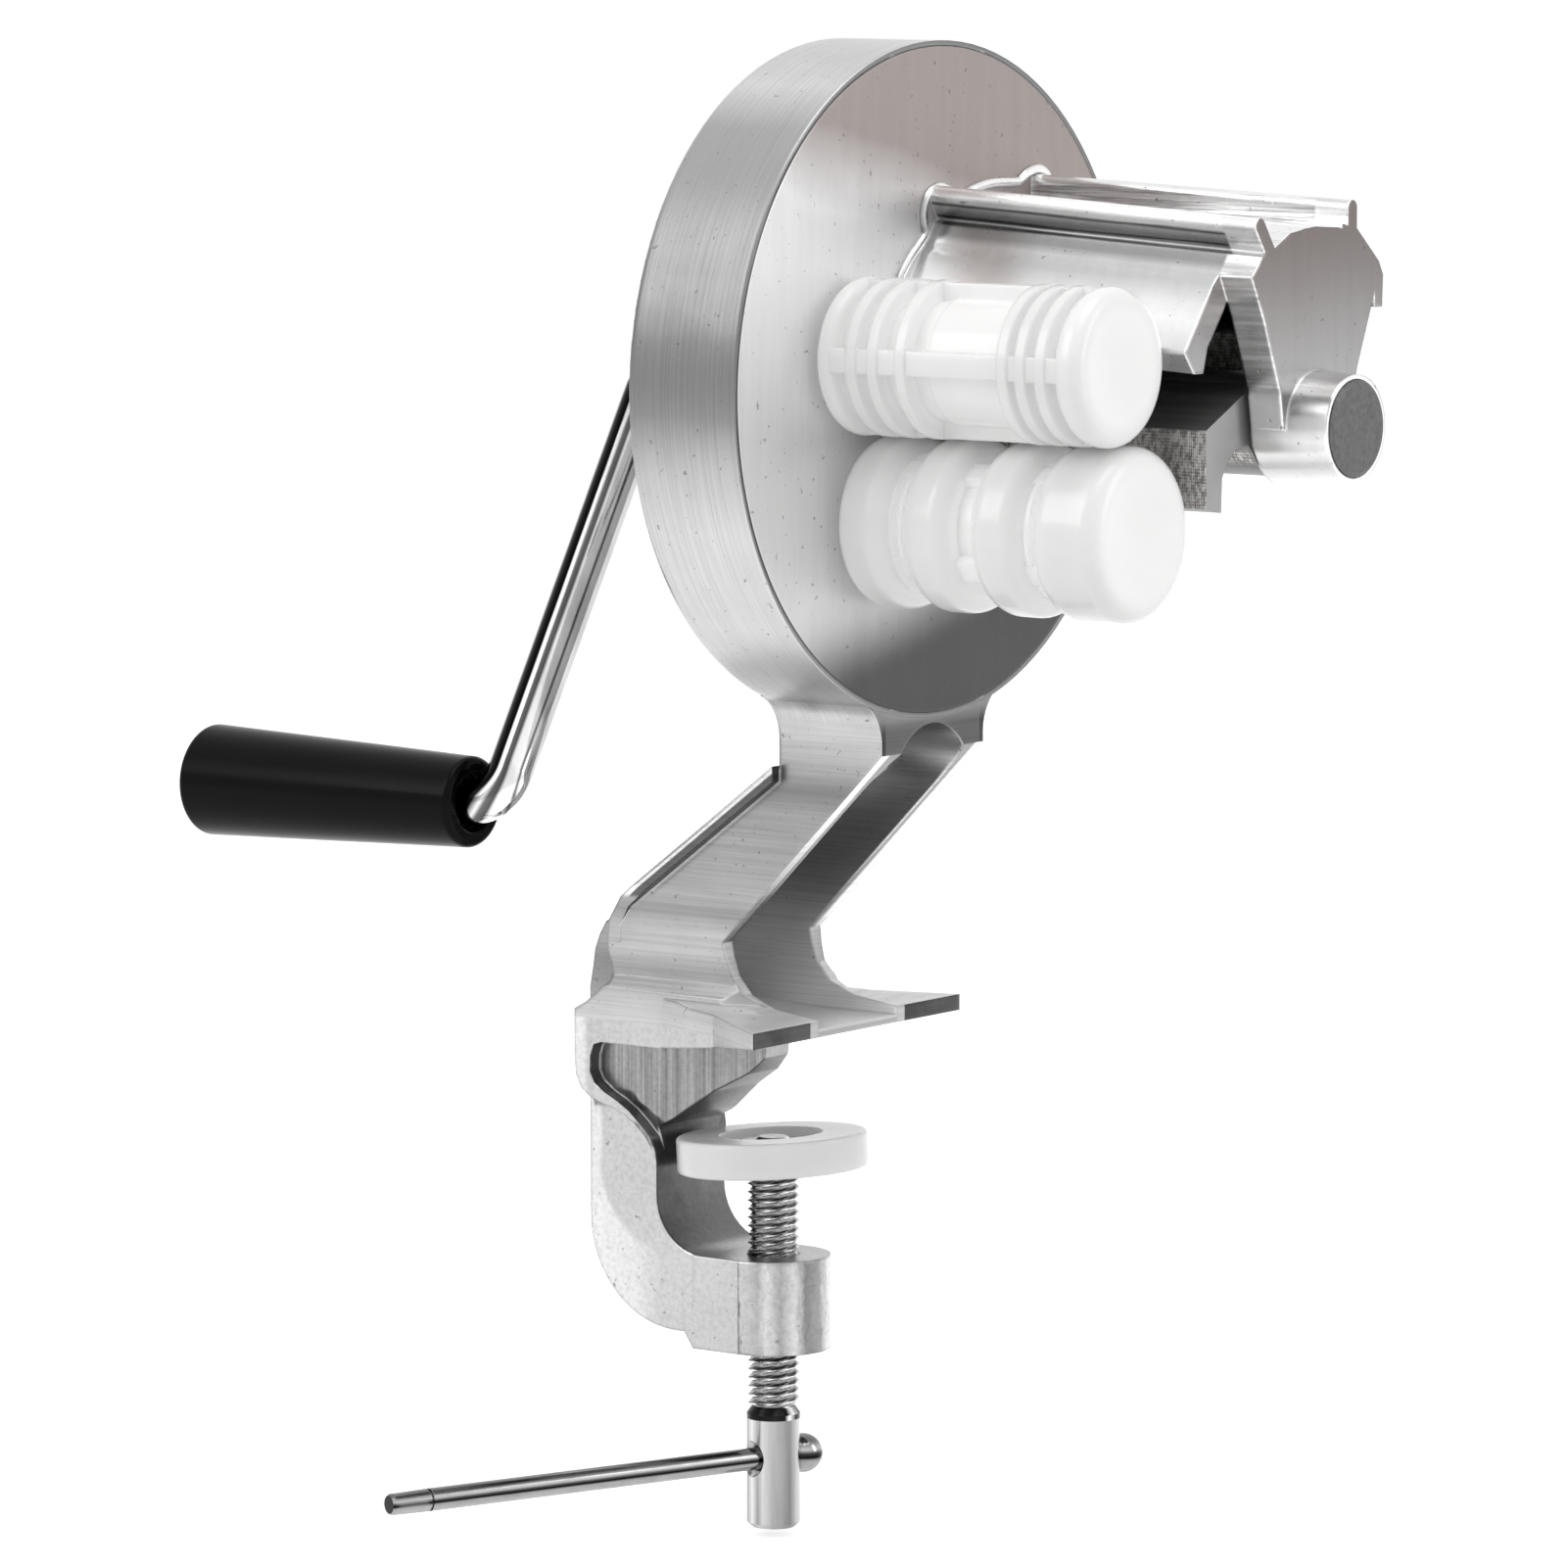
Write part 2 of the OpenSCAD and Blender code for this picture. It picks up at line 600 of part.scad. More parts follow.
// Outline points of the hood, as shares of the cutter radius from the cutter axis
roof_share = [[-1.2, 0.54], [-1.316, 0.688], [-0.977, 1.125], [-0.921, 1.174],
    [-0.812, 1.319], [-0.7, 1.39], [-0.658, 1.368], [-0.569, 1.411], [-0.451, 1.461],
    [-0.306, 1.49], [-0.158, 1.5], [0.105, 1.484], [0.309, 1.451], [0.309, 1.319],
    [0.105, 1.359], [-0.158, 1.375], [-0.405, 1.336], [-0.602, 1.24], [-0.766, 1.102],
    [-0.849, 0.957], [-1.049, 0.707], [-1.099, 0.54]];
side_share = [[0.253, 1.457], [0.431, 1.42], [0.707, 1.187], [0.76, 1.092], [0.75, 0.878],
    [0.664, 0.878], [0.651, 1.062], [0.612, 1.122], [0.414, 1.253], [0.253, 1.306]];
guard_share = [[0.66, 0.92], [0.755, 0.98], [0.96, 0.78], [1.1, 0.51], [1.16, 0.24],
    [0.9, 0.2], [0.84, 0.5], [0.7, 0.75]];
bracket_share = [[-0.789, 1.036], [-0.648, 1.171], [-0.539, 1.211], [-0.336, 1.309],
    [-0.043, 1.342], [0.362, 1.299], [0.464, 1.26], [0.747, 1.076], [0.773, 1.03],
    [0.493, 0.372], [0.401, 0], [-0.401, 0], [-0.441, 0.253], [-0.641, 0.75]];

// Draws an outline of the hood in the front view
module hood_outline(share) {
    translate([cut_y, cut_z]) polygon([for (p = share) [p[0] * cutter_r, p[1] * cutter_r]]);
}

// Rail with a round edge, standing at a share of the cutter radius and leaning over
module rail(share, lean, height) {
    translate([cut_y + share[0] * cutter_r, cut_z + share[1] * cutter_r]) rotate(lean) {
        translate([-rail_t / 2, -rail_t]) square([rail_t, height + rail_t / 2]);
        translate([0, height - rail_t / 2]) circle(rail_t / 2);
    }
}

// Extrudes an outline from the cover face outwards with the taper of the hood
module tapered(pitch_turn, yaw_turn) {
    intersection() {
        translate([face_x, 0, cut_z + cutter_r]) rotate([0, pitch_turn, yaw_turn])
            translate([0, 0, -cut_z - cutter_r]) from_front(-lip_depth, 1.2 * hood_len) children();
        translate([face_x - cut, -drum_r, 0]) cube([hood_len + cut, drum_d, 2 * axis_h]);
    }
}

module cover_casting() {
    sweep = cutter_r + sweep_gap;
    color("silver") difference() {
        union() {
            bar_x(face_x - lip_depth, lip_depth, drum_r - lip_t - seat_clear);
            bar_x(cover_back, cover_t, room_r - seat_clear);
            for (p = [[upper_y, upper_z0, bush_r], [lower_y, lower_z0, bush_r],
                    [cut_y, cut_z, cut_bush_r]])
                bar_x(boss_back, face_x - boss_back + 0.6 * roller_gap, p[2] + bush_wall,
                    p[0], p[1]);
            bar_x(boss_back, cover_back - boss_back + cut, crank_bush_r + bush_wall);
            difference() {
                tapered(hood_pitch, hood_yaw) {
                    hood_outline(roof_share);
                    rail([-0.72, 1.365], rail_lean, rail_left_h);
                }
                translate([bracket_x, -drum_r, cut_z]) cube([hood_len, drum_d, 1.05 * cutter_r]);
            }
            tapered(side_ratio_share * hood_pitch, side_ratio_share * hood_yaw / 2) {
                hood_outline(side_share);
                rail([0.378, 1.4], 0, rail_right_h);
            }
            from_front(face_x - cut, 0.55 * hood_len) hood_outline(guard_share);
            from_front(bracket_x, bracket_t) hood_outline(bracket_share);
            cone_x(bracket_x, bracket_t + boss_reach, boss_r, boss_tip_r, cut_y, cut_z);
        }
        bar_x(face_x + cut, bracket_x - face_x - cut, sweep, cut_y, cut_z);
        bar_x(face_x + cut, roller_len + 2 * roller_gap, upper_r + guard_gap, upper_y, upper_z0);
        bar_x(boss_back - cut, cover_t + 4 * roller_gap, bush_r, upper_y, upper_z0);
        bar_x(boss_back - cut, cover_t + 4 * roller_gap, bush_r, lower_y, lower_z0);
        bar_x(boss_back - cut, cover_t + 4 * roller_gap, cut_bush_r, cut_y, cut_z);
        bar_x(boss_back - cut, cover_t - lip_t, crank_bush_r);
        bar_x(bracket_x - cut, bracket_t + 2 * boss_reach, cut_bush_r, cut_y, cut_z);
        bar_x(end_x - lip_depth, 2 * lip_depth, boss_tip_r - lip_t, cut_y, cut_z);
        screw_places() translate([cover_back - cut, 0, 0])
            rotate([0, 90, 0]) cylinder(h = cover_t - lip_t, r = screw_r + seat_clear / 2);
    }
}

module cover_screws() {
    color("gray") screw_places() {
        translate([back_x - head_h, 0, 0]) rotate([0, 90, 0]) difference() {
            union() {
                translate([0, 0, head_h / 3]) cylinder(h = head_h * 2 / 3, r = head_r);
                cylinder(h = head_h / 3, r1 = head_r * 0.86, r2 = head_r);
                cylinder(h = head_h + cover_back - back_x + cover_t - 1.7 * lip_t, r = screw_r);
            }
            translate([0, 0, -cut]) cylinder(h = head_h * 0.6 + cut, r = screw_r * 0.8, $fn = 6);
        }
    }
}

module bush(x0, len, r, y, z, flange = 0) {
    color("goldenrod") difference() {
        union() {
            bar_x(x0, len, r + bush_wall, y, z);
            if (flange > 0) bar_x(x0 - flange, flange, r + 2 * bush_wall, y, z);
        }
        bar_x(x0 - flange - cut, len + flange + 2 * cut, r + run_clear, y, z);
    }
}

module crank_bush() {
    bush(back_x - crank_boss, crank_boss + back_t, rod_r, 0, axis_h, lip_t);
}

module crank_pilot_bush() {
    bush(boss_back, cover_t - lip_t - cut, rod_r, 0, axis_h);
}

module upper_rear_bush() {
    bush(back_x - back_boss + bush_wall, back_boss + back_t - bush_wall, shaft_r,
        upper_y, upper_z0);
}

module lower_rear_bush() {
    bush(back_x - back_boss + bush_wall, back_boss + back_t - bush_wall, shaft_r,
        lower_y, lower_z0);
}

module cutter_rear_bush() {
    bush(back_x - back_boss + bush_wall, back_boss + back_t - bush_wall, cutter_shaft_r,
        cut_y, cut_z);
}

module upper_front_bush() {
    bush(boss_back, face_x + 0.6 * roller_gap - boss_back, shaft_r, upper_y, upper_z0);
}

module lower_front_bush() {
    bush(boss_back, face_x + 0.6 * roller_gap - boss_back, shaft_r, lower_y, lower_z0);
}

module cutter_front_bush() {
    bush(boss_back, face_x + 0.6 * roller_gap - boss_back, cutter_shaft_r, cut_y, cut_z);
}

module cutter_outer_bush() {
    bush(bracket_x, bracket_t + boss_reach - lip_depth, cutter_shaft_r, cut_y, cut_z);
}

// Quarter bend of the rod, from the arm direction into the direction of X
module bend() {
    rotate([90, 0, 0]) rotate_extrude(angle = 90) translate([bend_r, 0]) circle(rod_r);
}

module crank_rod() {
    hub_end = cover_back + cut;
    color("gainsboro") difference() {
        translate([arm_x, 0, axis_h]) rotate([-arm_turn, 0, 0]) {
            translate([bend_r, 0, 0]) rotate([0, 90, 0])
                cylinder(h = hub_end - arm_x - bend_r, r = rod_r);
            translate([bend_r, 0, -bend_r]) mirror([1, 0, 0]) bend();
            translate([0, 0, bend_r - crank_throw])
                cylinder(h = crank_throw - 2 * bend_r, r = rod_r);
            translate([-bend_r, 0, bend_r - crank_throw]) mirror([0, 0, 1]) bend();
            translate([-bend_r - grip_len, 0, -crank_throw]) rotate([0, 90, 0])
                cylinder(h = grip_len, r = rod_r);
        }
        key_block(gear_x1, gear_w, rod_r, 0, axis_h);
    }
}

module crank_key() {
    color("gray") key_block(gear_x1, gear_w, rod_r, 0, axis_h);
}

module crank_pinion() {
    color("darkgray") difference() {
        gear(pinion_z, gear_x1, gear_w, 0, axis_h, turn_b, rod_r);
        key_block(gear_x1 - cut, gear_w + 2 * cut, rod_r, 0, axis_h);
    }
}

module sleeve(x0, len, ra, rb, y, z) {
    color("darkgray") difference() {
        bar_x(x0, len, rb, y, z);
        bar_x(x0 - cut, len + 2 * cut, ra, y, z);
    }
}

module crank_spacer() {
    sleeve(gear_x1 + gear_w, boss_back - gear_play - gear_x1 - gear_w, rod_r,
        rod_r + bush_wall, 0, axis_h);
}

module crank_collar() {
    sleeve(back_x - crank_boss - lip_t - gear_play - 3 * bush_wall, 3 * bush_wall, rod_r,
        rod_r + 1.6 * bush_wall, 0, axis_h);
}

module grip_frame() {
    translate([arm_x, 0, axis_h]) rotate([-arm_turn, 0, 0])
        translate([-rod_r - grip_gap, 0, -crank_throw]) rotate([0, -90, 0]) children();
}

module crank_grip() {
    rr = grip_gap;
    color("black") grip_frame() difference() {
        union() {
            translate([0, 0, rr]) cylinder(h = grip_len - 2 * rr, r1 = grip_r1, r2 = grip_r2);
            cylinder(h = grip_len, r1 = grip_r1 - rr, r2 = grip_r2 - rr);
            translate([0, 0, rr]) rotate_extrude() translate([grip_r1 - rr, 0]) circle(rr);
            translate([0, 0, grip_len - rr]) rotate_extrude()
                translate([grip_r2 - rr, 0]) circle(rr);
        }
        translate([0, 0, -cut]) cylinder(h = grip_len + 2 * cut, r = rod_r + 3 * run_clear);
        translate([0, 0, -cut]) cylinder(h = 2 * rr + cut, r = rod_r + 1.1 * rr);
        translate([0, 0, grip_len - 4 * rr]) cylinder(h = 4 * rr + cut, r = rod_r + bush_wall);
    }
}

module grip_retainer() {
    rr = grip_gap;
    color("gray") grip_frame() difference() {
        translate([0, 0, grip_len - 4 * rr + gear_play / 2])
            cylinder(h = rr, r = rod_r + 0.8 * bush_wall);
        cylinder(h = 2 * grip_len, r = rod_r);
    }
}

module plain_shaft(x0, len, r, y, z) {
    edge = 0.1 * r;
    bar_x(x0 + edge, len - 2 * edge, r, y, z);
    cone_x(x0, edge, r - edge, r, y, z);
    cone_x(x0 + len - edge, edge, r, r - edge, y, z);
}

module upper_shaft() {
    x0 = back_x - back_boss + bush_wall + gear_play;
    color("lightgray") difference() {
        plain_shaft(x0, roller_x + roller_len - 2 * roller_round - x0, shaft_r,
            upper_y, upper_z0);
        key_block(gear_x2, gear_w, shaft_r, upper_y, upper_z0);
        translate([roller_x + roller_len / 12, upper_y, upper_z0 - core_r])
            cylinder(h = 2 * core_r, r = pin_r);
    }
}

module lower_shaft() {
    x0 = back_x - back_boss + bush_wall + gear_play;
    color("lightgray") difference() {
        plain_shaft(x0, roller_x + roller_len - 2 * roller_round - x0, shaft_r,
            lower_y, lower_z0);
        key_block(gear_x1, gear_x2 + gear_w - gear_x1, shaft_r, lower_y, lower_z0);
        translate([roller_x + roller_len / 12, lower_y, lower_z0 - core_r])
            cylinder(h = 2 * core_r, r = pin_r);
    }
}

module upper_gear() {
    color("darkgray") difference() {
        gear(pair_z, gear_x2, gear_w, upper_y, upper_z0, turn_ba + 180 + 180 / pair_z, shaft_r);
        key_block(gear_x2 - cut, gear_w + 2 * cut, shaft_r, upper_y, upper_z0);
    }
}

module upper_key() {
    color("gray") key_block(gear_x2, gear_w, shaft_r, upper_y, upper_z0);
}

module upper_spacer() {
    sleeve(gear_x1, gear_x2 - gear_x1, shaft_r, shaft_r + bush_wall, upper_y, upper_z0);
}

module lower_gear() {
    color("darkgray") difference() {
        gear(lower_z, gear_x1, gear_w, lower_y, lower_z0, turn_b + 180 + 180 / lower_z,
            shaft_r);
        for (a = [0:60:300])
            translate([0, lower_y, lower_z0]) rotate([a + 30, 0, 0])
                translate([0, 0, 0.4 * gear_m * lower_z - bush_wall]) rotate([0, 90, 0])
                    cylinder(h = face_x, r = 2 * bush_wall);
        key_block(gear_x1 - cut, gear_w + 2 * cut, shaft_r, lower_y, lower_z0);
    }
}

module lower_pair_gear() {
    color("darkgray") difference() {
        union() {
            gear(pair_z, gear_x2, gear_w, lower_y, lower_z0, turn_ba, shaft_r);
            difference() {
                bar_x(gear_x1 + gear_w, gear_x2 - gear_x1 - gear_w, 2 * shaft_r, lower_y,
                    lower_z0);
                bar_x(gear_x1, gear_x2, shaft_r, lower_y, lower_z0);
            }
        }
        key_block(gear_x1 - cut, gear_x2 + gear_w - gear_x1 + 2 * cut, shaft_r, lower_y, lower_z0);
    }
}

module lower_key() {
    color("gray") key_block(gear_x1, gear_x2 + gear_w - gear_x1, shaft_r, lower_y, lower_z0);
}

// Core, long bars and end collars that both rollers share
module roller_frame(r, y, z, in_w, out_w) {
    bar_x(roller_x + cut, roller_len - 2 * cut, core_r, y, z);
    round_disc(roller_x, in_w, r, 0.45 * in_w, y, z);
    round_disc(roller_x + roller_len - out_w, out_w, r, roller_round * 0.8, y, z);
    for (a = [0:90:270]) translate([roller_x + in_w / 2, y, z]) rotate([a, 0, 0])
        translate([0, -bar_w / 2, 0])
            cube([roller_len - (in_w + out_w) / 2, bar_w, r - 0.08 * bar_w]);
}

module roller_bore(y, z) {
    bar_x(roller_x - cut, roller_len - 2 * roller_round + cut, shaft_r, y, z);
    translate([roller_x + roller_len / 12, y, z - core_r + cut])
        cylinder(h = 2 * core_r - 2 * cut, r = pin_r);
}

// Places of the fins along the upper roller, as shares of its length
fin_share = [0.121, 0.203, 0.31, 0.698, 0.765, 0.84];

module upper_roller() {
    color("white") difference() {
        union() {
            roller_frame(upper_r, upper_y, upper_z0, 0.067 * roller_len, 0.101 * roller_len);
            for (k = fin_share) bar_x(roller_x + k * roller_len, fin_w, upper_r,
                upper_y, upper_z0);
            bar_x(roller_x + 0.405 * roller_len, 0.262 * roller_len, core_r + 0.7 * lip_t,
                upper_y, upper_z0);
        }
        roller_bore(upper_y, upper_z0);
    }
}

module lower_roller() {
    step = roller_len * 0.262;
    mid = roller_x + roller_len * 0.074;
    color("white") difference() {
        union() {
            bar_x(roller_x + cut, roller_len - 2 * cut, core_r, lower_y, lower_z0);
            for (a = [35:90:305]) translate([roller_x + cut, lower_y, lower_z0])
                rotate([a, 0, 0]) translate([0, -bar_w / 2, 0])
                    cube([roller_len - 2 * cut - roller_round, bar_w, ring_r]);
            for (k = [0, 1, 2]) round_disc(mid + k * step - collar_w / 2 + (k == 0 ? lip_t : 0),
                collar_w, lower_r, collar_round, lower_y, lower_z0);
            round_disc(roller_x + roller_len - 1.42 * collar_w, 1.42 * collar_w, lower_r,
                collar_round, lower_y, lower_z0);
            for (k = [0, 2]) for (j = [-1, 1])
                bar_x(mid + (k + 0.5) * step + j * ring_w - ring_w / 2, ring_w, ring_r,
                    lower_y, lower_z0);
        }
        roller_bore(lower_y, lower_z0);
    }
}

module upper_pin() {
    color("gray") translate([roller_x + roller_len / 12, upper_y, upper_z0 - core_r + cut])
        cylinder(h = 2 * core_r - 2 * cut, r = pin_r);
}

module lower_pin() {
    color("gray") translate([roller_x + roller_len / 12, lower_y, lower_z0 - core_r + cut])
        cylinder(h = 2 * core_r - 2 * cut, r = pin_r);
}

module cutter_shaft() {
    x0 = back_x - back_boss + bush_wall + gear_play;
    color("lightgray") difference() {
        plain_shaft(x0, end_x - lip_depth - gear_play - x0, cutter_shaft_r, cut_y, cut_z);
        key_block(gear_x1, gear_w, cutter_shaft_r, cut_y, cut_z);
        translate([cutter_x + cutter_len / 2, cut_y, cut_z]) cylinder(h = cutter_r, r = pin_r);
    }
}

module cutter_gear() {
    turn = turn_c + 180 + 180 / cutter_z + (turn_c - turn_b) * pinion_z / cutter_z;
    color("darkgray") difference() {
        gear(cutter_z, gear_x1, gear_w, cut_y, cut_z, turn, cutter_shaft_r);
        key_block(gear_x1 - cut, gear_w + 2 * cut, cutter_shaft_r, cut_y, cut_z);
    }
}

module cutter_key() {
    color("gray") key_block(gear_x1, gear_w, cutter_shaft_r, cut_y, cut_z);
}

module cutter_spacer() {
    sleeve(gear_x1 + gear_w, boss_back - gear_play - gear_x1 - gear_w, cutter_shaft_r,
        cutter_shaft_r + bush_wall, cut_y, cut_z);
}

// One blade of the cutter with its flat milled face, drawn as Y and Z about the axis
module blade() {
    r = cutter_r;
    polygon([[0, 0.33 * r], [-0.43 * r, 0.22 * r], [-0.86 * r, 0.01 * r],
        [-0.857 * r, -0.513 * r], [-0.68 * r, -0.55 * r], [-0.67 * r, -0.32 * r],
        [-0.6 * r, -0.2 * r], [-0.49 * r, -0.13 * r], [-0.36 * r, -0.12 * r],
        [-0.27 * r, -0.2 * r], [0, -0.3 * r]]);
}

module cutter_blades() {
    color("lightgray") difference() {
        translate([0, cut_y, cut_z]) from_front(cutter_x, cutter_len) {
            blade();
            rotate(180) blade();
            circle(hub_r);
        }
        bar_x(cutter_x - cut, cutter_len + 2 * cut, cutter_shaft_r, cut_y, cut_z);
        translate([cutter_x + cutter_len / 2, cut_y, cut_z])
            cylinder(h = cutter_r, r = pin_r + 2 * seat_clear);
    }
}

module cutter_grub_screw() {
    top = hub_r - 2 * lip_t;
    color("gray") translate([cutter_x + cutter_len / 2, cut_y, cut_z]) difference() {
        translate([0, 0, cutter_shaft_r / 2]) cylinder(h = top - cutter_shaft_r / 2, r = pin_r);
        translate([0, 0, top - lip_t]) cylinder(h = 2 * lip_t, r = pin_r / 2, $fn = 6);
    }
}

module bearing_cap() {
    rr = boss_tip_r - lip_t;
    color("dimgray") {
        bar_x(end_x - lip_depth, lip_depth + 0.2 * lip_t, rr - seat_clear, cut_y, cut_z);
        cone_x(end_x + 0.2 * lip_t, 0.5 * lip_t, rr - seat_clear, rr - lip_t, cut_y, cut_z);
    }
}

module thread_form() {
    n = 10;
    polygon([for (k = [0:n - 1]) let (t = abs(2 * k / n - 1))
        (thread_r - thread_d * min(1, max(0, 1.25 * t - 0.12))) * [cos(360 * k / n),
            sin(360 * k / n)]]);
}

module clamp_screw() {
    len = thread_top - thread_bottom;
    neck_r = thread_r - thread_d;
    color("gainsboro") difference() {
        union() {
            translate([0, 0, thread_bottom])
                linear_extrude(height = len, twist = -360 * len / pitch,
                    slices = round(8 * len / pitch), $fn = 10) thread_form();
            translate([0, 0, thread_bottom - lip_t])
                cylinder(h = len + lip_t, r = neck_r);
            translate([0, 0, thread_bottom - 2 * lip_t])
                cylinder(h = lip_t + cut, r1 = shank_r, r2 = neck_r);
            translate([0, 0, shank_bottom + lip_t])
                cylinder(h = thread_bottom - 2 * lip_t - shank_bottom - lip_t, r = shank_r);
            translate([0, 0, shank_bottom])
                cylinder(h = lip_t, r1 = shank_r - lip_t, r2 = shank_r);
            translate([0, 0, thread_top]) cylinder(h = pad_top - thread_top - lip_t, r = spigot_r);
            translate([0, 0, pad_top - 1.6 * lip_t])
                cylinder(h = lip_t, r1 = 1.36 * spigot_r, r2 = spigot_r);
        }
        translate([0, 0, tommy_z]) rotate([90, 0, -tommy_turn]) {
            translate([0, 0, -2 * thread_r])
                cylinder(h = 4 * thread_r, r = tommy_r + 2 * seat_clear);
            for (s = [1, -1]) translate([0, 0, s * tommy_short])
                sphere(knob_r + 2 * seat_clear);
        }
    }
}

module clamp_pad() {
    rr = 0.8 * lip_t;
    recess = 0.54 * pad_r;
    color("white") translate([0, 0, pad_top - pad_t]) rotate([0, -pad_tilt, 0])
        difference() {
            union() {
                translate([0, 0, rr]) cylinder(h = pad_t - 2 * rr, r = pad_r);
                cylinder(h = pad_t, r = pad_r - rr);
                for (h = [rr, pad_t - rr]) translate([0, 0, h])
                    rotate_extrude() translate([pad_r - rr, 0]) circle(rr);
            }
            translate([0, 0, pad_t - 3.2 * lip_t]) cylinder(h = pad_t, r = recess);
            translate([0, 0, -cut])
                cylinder(h = pad_t, r1 = spigot_r + pad_play, r2 = spigot_r + 0.6 * pad_play);
        }
}

module pad_washer() {
    color("gray") translate([0, 0, pad_top - 2.3 * lip_t]) difference() {
        cylinder(h = 0.7 * lip_t, r = 0.34 * pad_r);
        translate([0, 0, -cut]) cylinder(h = 2 * lip_t, r = spigot_r + seat_clear);
    }
}

module tommy_frame() {
    translate([0, 0, tommy_z]) rotate([90, 0, -tommy_turn]) children();
}

module tommy_bar() {
    tip = 4 * tommy_r;
    color("gainsboro") tommy_frame() {
        translate([0, 0, -tommy_short])
            cylinder(h = tommy_long + tommy_short - tip, r = tommy_r);
        translate([0, 0, tommy_long - tip]) cylinder(h = lip_t / 2, r = tommy_r * 0.8);
        translate([0, 0, tommy_long - tip + lip_t / 2])
            cylinder(h = tip - lip_t, r1 = tommy_r, r2 = tommy_r * 0.94);
        translate([0, 0, tommy_long - lip_t / 2])
            cylinder(h = lip_t / 2, r1 = tommy_r * 0.94, r2 = tommy_r * 0.8);
    }
}

module tommy_knob() {
    color("gainsboro") tommy_frame() difference() {
        translate([0, 0, -tommy_short]) sphere(knob_r);
        translate([0, 0, -tommy_short]) cylinder(h = 2 * knob_r, r = tommy_r);
    }
}

body_casting();
cover_casting();
cover_screws();
crank_bush();
crank_pilot_bush();
upper_rear_bush();
lower_rear_bush();
cutter_rear_bush();
upper_front_bush();
lower_front_bush();
cutter_front_bush();
cutter_outer_bush();
crank_rod();
crank_pinion();
crank_key();
crank_spacer();
crank_collar();
crank_grip();
grip_retainer();
upper_shaft();
upper_gear();
upper_key();
upper_spacer();
upper_roller();
upper_pin();
lower_shaft();
lower_gear();
lower_pair_gear();
lower_key();
lower_roller();
lower_pin();
cutter_shaft();
cutter_gear();
cutter_key();
cutter_spacer();
cutter_blades();
cutter_grub_screw();
bearing_cap();
clamp_screw();
clamp_pad();
pad_washer();
tommy_bar();
tommy_knob();
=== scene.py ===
"""Looks of the hand cranked cavatelli maker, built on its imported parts."""

import json
import math
import bpy
from mathutils import Matrix, Vector


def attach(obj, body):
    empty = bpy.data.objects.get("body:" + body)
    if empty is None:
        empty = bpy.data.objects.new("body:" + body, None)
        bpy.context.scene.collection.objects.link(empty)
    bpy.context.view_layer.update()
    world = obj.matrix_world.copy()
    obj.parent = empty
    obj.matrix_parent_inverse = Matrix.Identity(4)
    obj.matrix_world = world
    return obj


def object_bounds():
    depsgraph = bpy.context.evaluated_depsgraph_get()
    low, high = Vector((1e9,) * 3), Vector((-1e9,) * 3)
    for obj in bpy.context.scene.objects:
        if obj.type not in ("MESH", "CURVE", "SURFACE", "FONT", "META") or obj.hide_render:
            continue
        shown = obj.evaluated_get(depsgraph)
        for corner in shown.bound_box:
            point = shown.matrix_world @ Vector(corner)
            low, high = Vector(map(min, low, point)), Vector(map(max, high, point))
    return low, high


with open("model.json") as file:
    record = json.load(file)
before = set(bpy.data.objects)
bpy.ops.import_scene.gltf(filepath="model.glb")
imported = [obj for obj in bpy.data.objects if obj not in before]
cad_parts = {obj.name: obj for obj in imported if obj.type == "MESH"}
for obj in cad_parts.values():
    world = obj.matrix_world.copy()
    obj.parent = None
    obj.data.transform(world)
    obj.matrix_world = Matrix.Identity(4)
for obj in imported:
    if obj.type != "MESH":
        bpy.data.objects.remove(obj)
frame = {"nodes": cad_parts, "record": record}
cad_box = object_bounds()
nodes = frame["nodes"]
scene = bpy.context.scene
scene.view_settings.view_transform = "Standard"

# Places on the part, in metres.
AXIS_Z = 0.1374          # height of the drum's axis
SEAM_R = 0.0690          # seam between drum and cover
SEAM_X = 0.0460          # ends here, where the hood begins
FACE_X = 0.0425          # lapped face of the cover
CUTTER_Y = 0.0238        # axis of the cutter and its hood
CUTTER_Z = 0.1297
CUTTER_R = 0.0301
BRACKET_X = 0.1125       # near side of the hood's bracket
HOOD_FALL = 0.0612       # drop of the hood's rails for each metre of their length
BOSS_RING = 0.0860       # turned ring at the end of the boss, from the cover
BEAD_R = 0.0011          # half the thickness of the bead at the hood's root
ROLLERS = (              # y, z and radius of each roller
    (-0.02966, 0.14411, 0.0163), (-0.02179, 0.11001, 0.0183))
LEG_TOP = 0.0690         # where the leg runs into the drum
WALL_TOP = 0.0660        # where its side walls end
CHANNEL_HALF = 0.0139    # half the width of its channel
LEG_HALF = 0.0180        # half the width over its side walls
RIB_HALF = 0.0197        # half the width past which its rear ribs stand out
RIB_X = 0.0225           # where they end towards the front, the foot and the drum
RIB_FOOT = 0.0120
RIB_TOP = 0.0575
WEB_X = 0.0300           # web between the walls, under the drum
WEB_FRONT = 0.0419       # just short of its front face
WEB_FOOT = 0.0440
TIP_X = 0.0210           # sawn tips of the feet
TIP_HALF = 0.0165
SPINE_X = -0.0396        # back of the clamp frame
BEND_R = 0.0220          # from there to the middle of its bend
BEND_Z = -0.0310
HOLLOW_X = -0.0120       # front of the hollow above the nut boss
POCKET_HALF = 0.0148     # pocket behind the pad
POCKET_FOOT = -0.0335
POCKET_TOP = -0.0056
PILLAR_HALF = 0.0125     # pillar in the middle of that pocket
PILLAR_X = -0.0222
NUT_TOP = -0.0498        # nut boss of the clamp screw
NUT_R = 0.0122
THREAD_END = -0.0819     # lower end of the thread
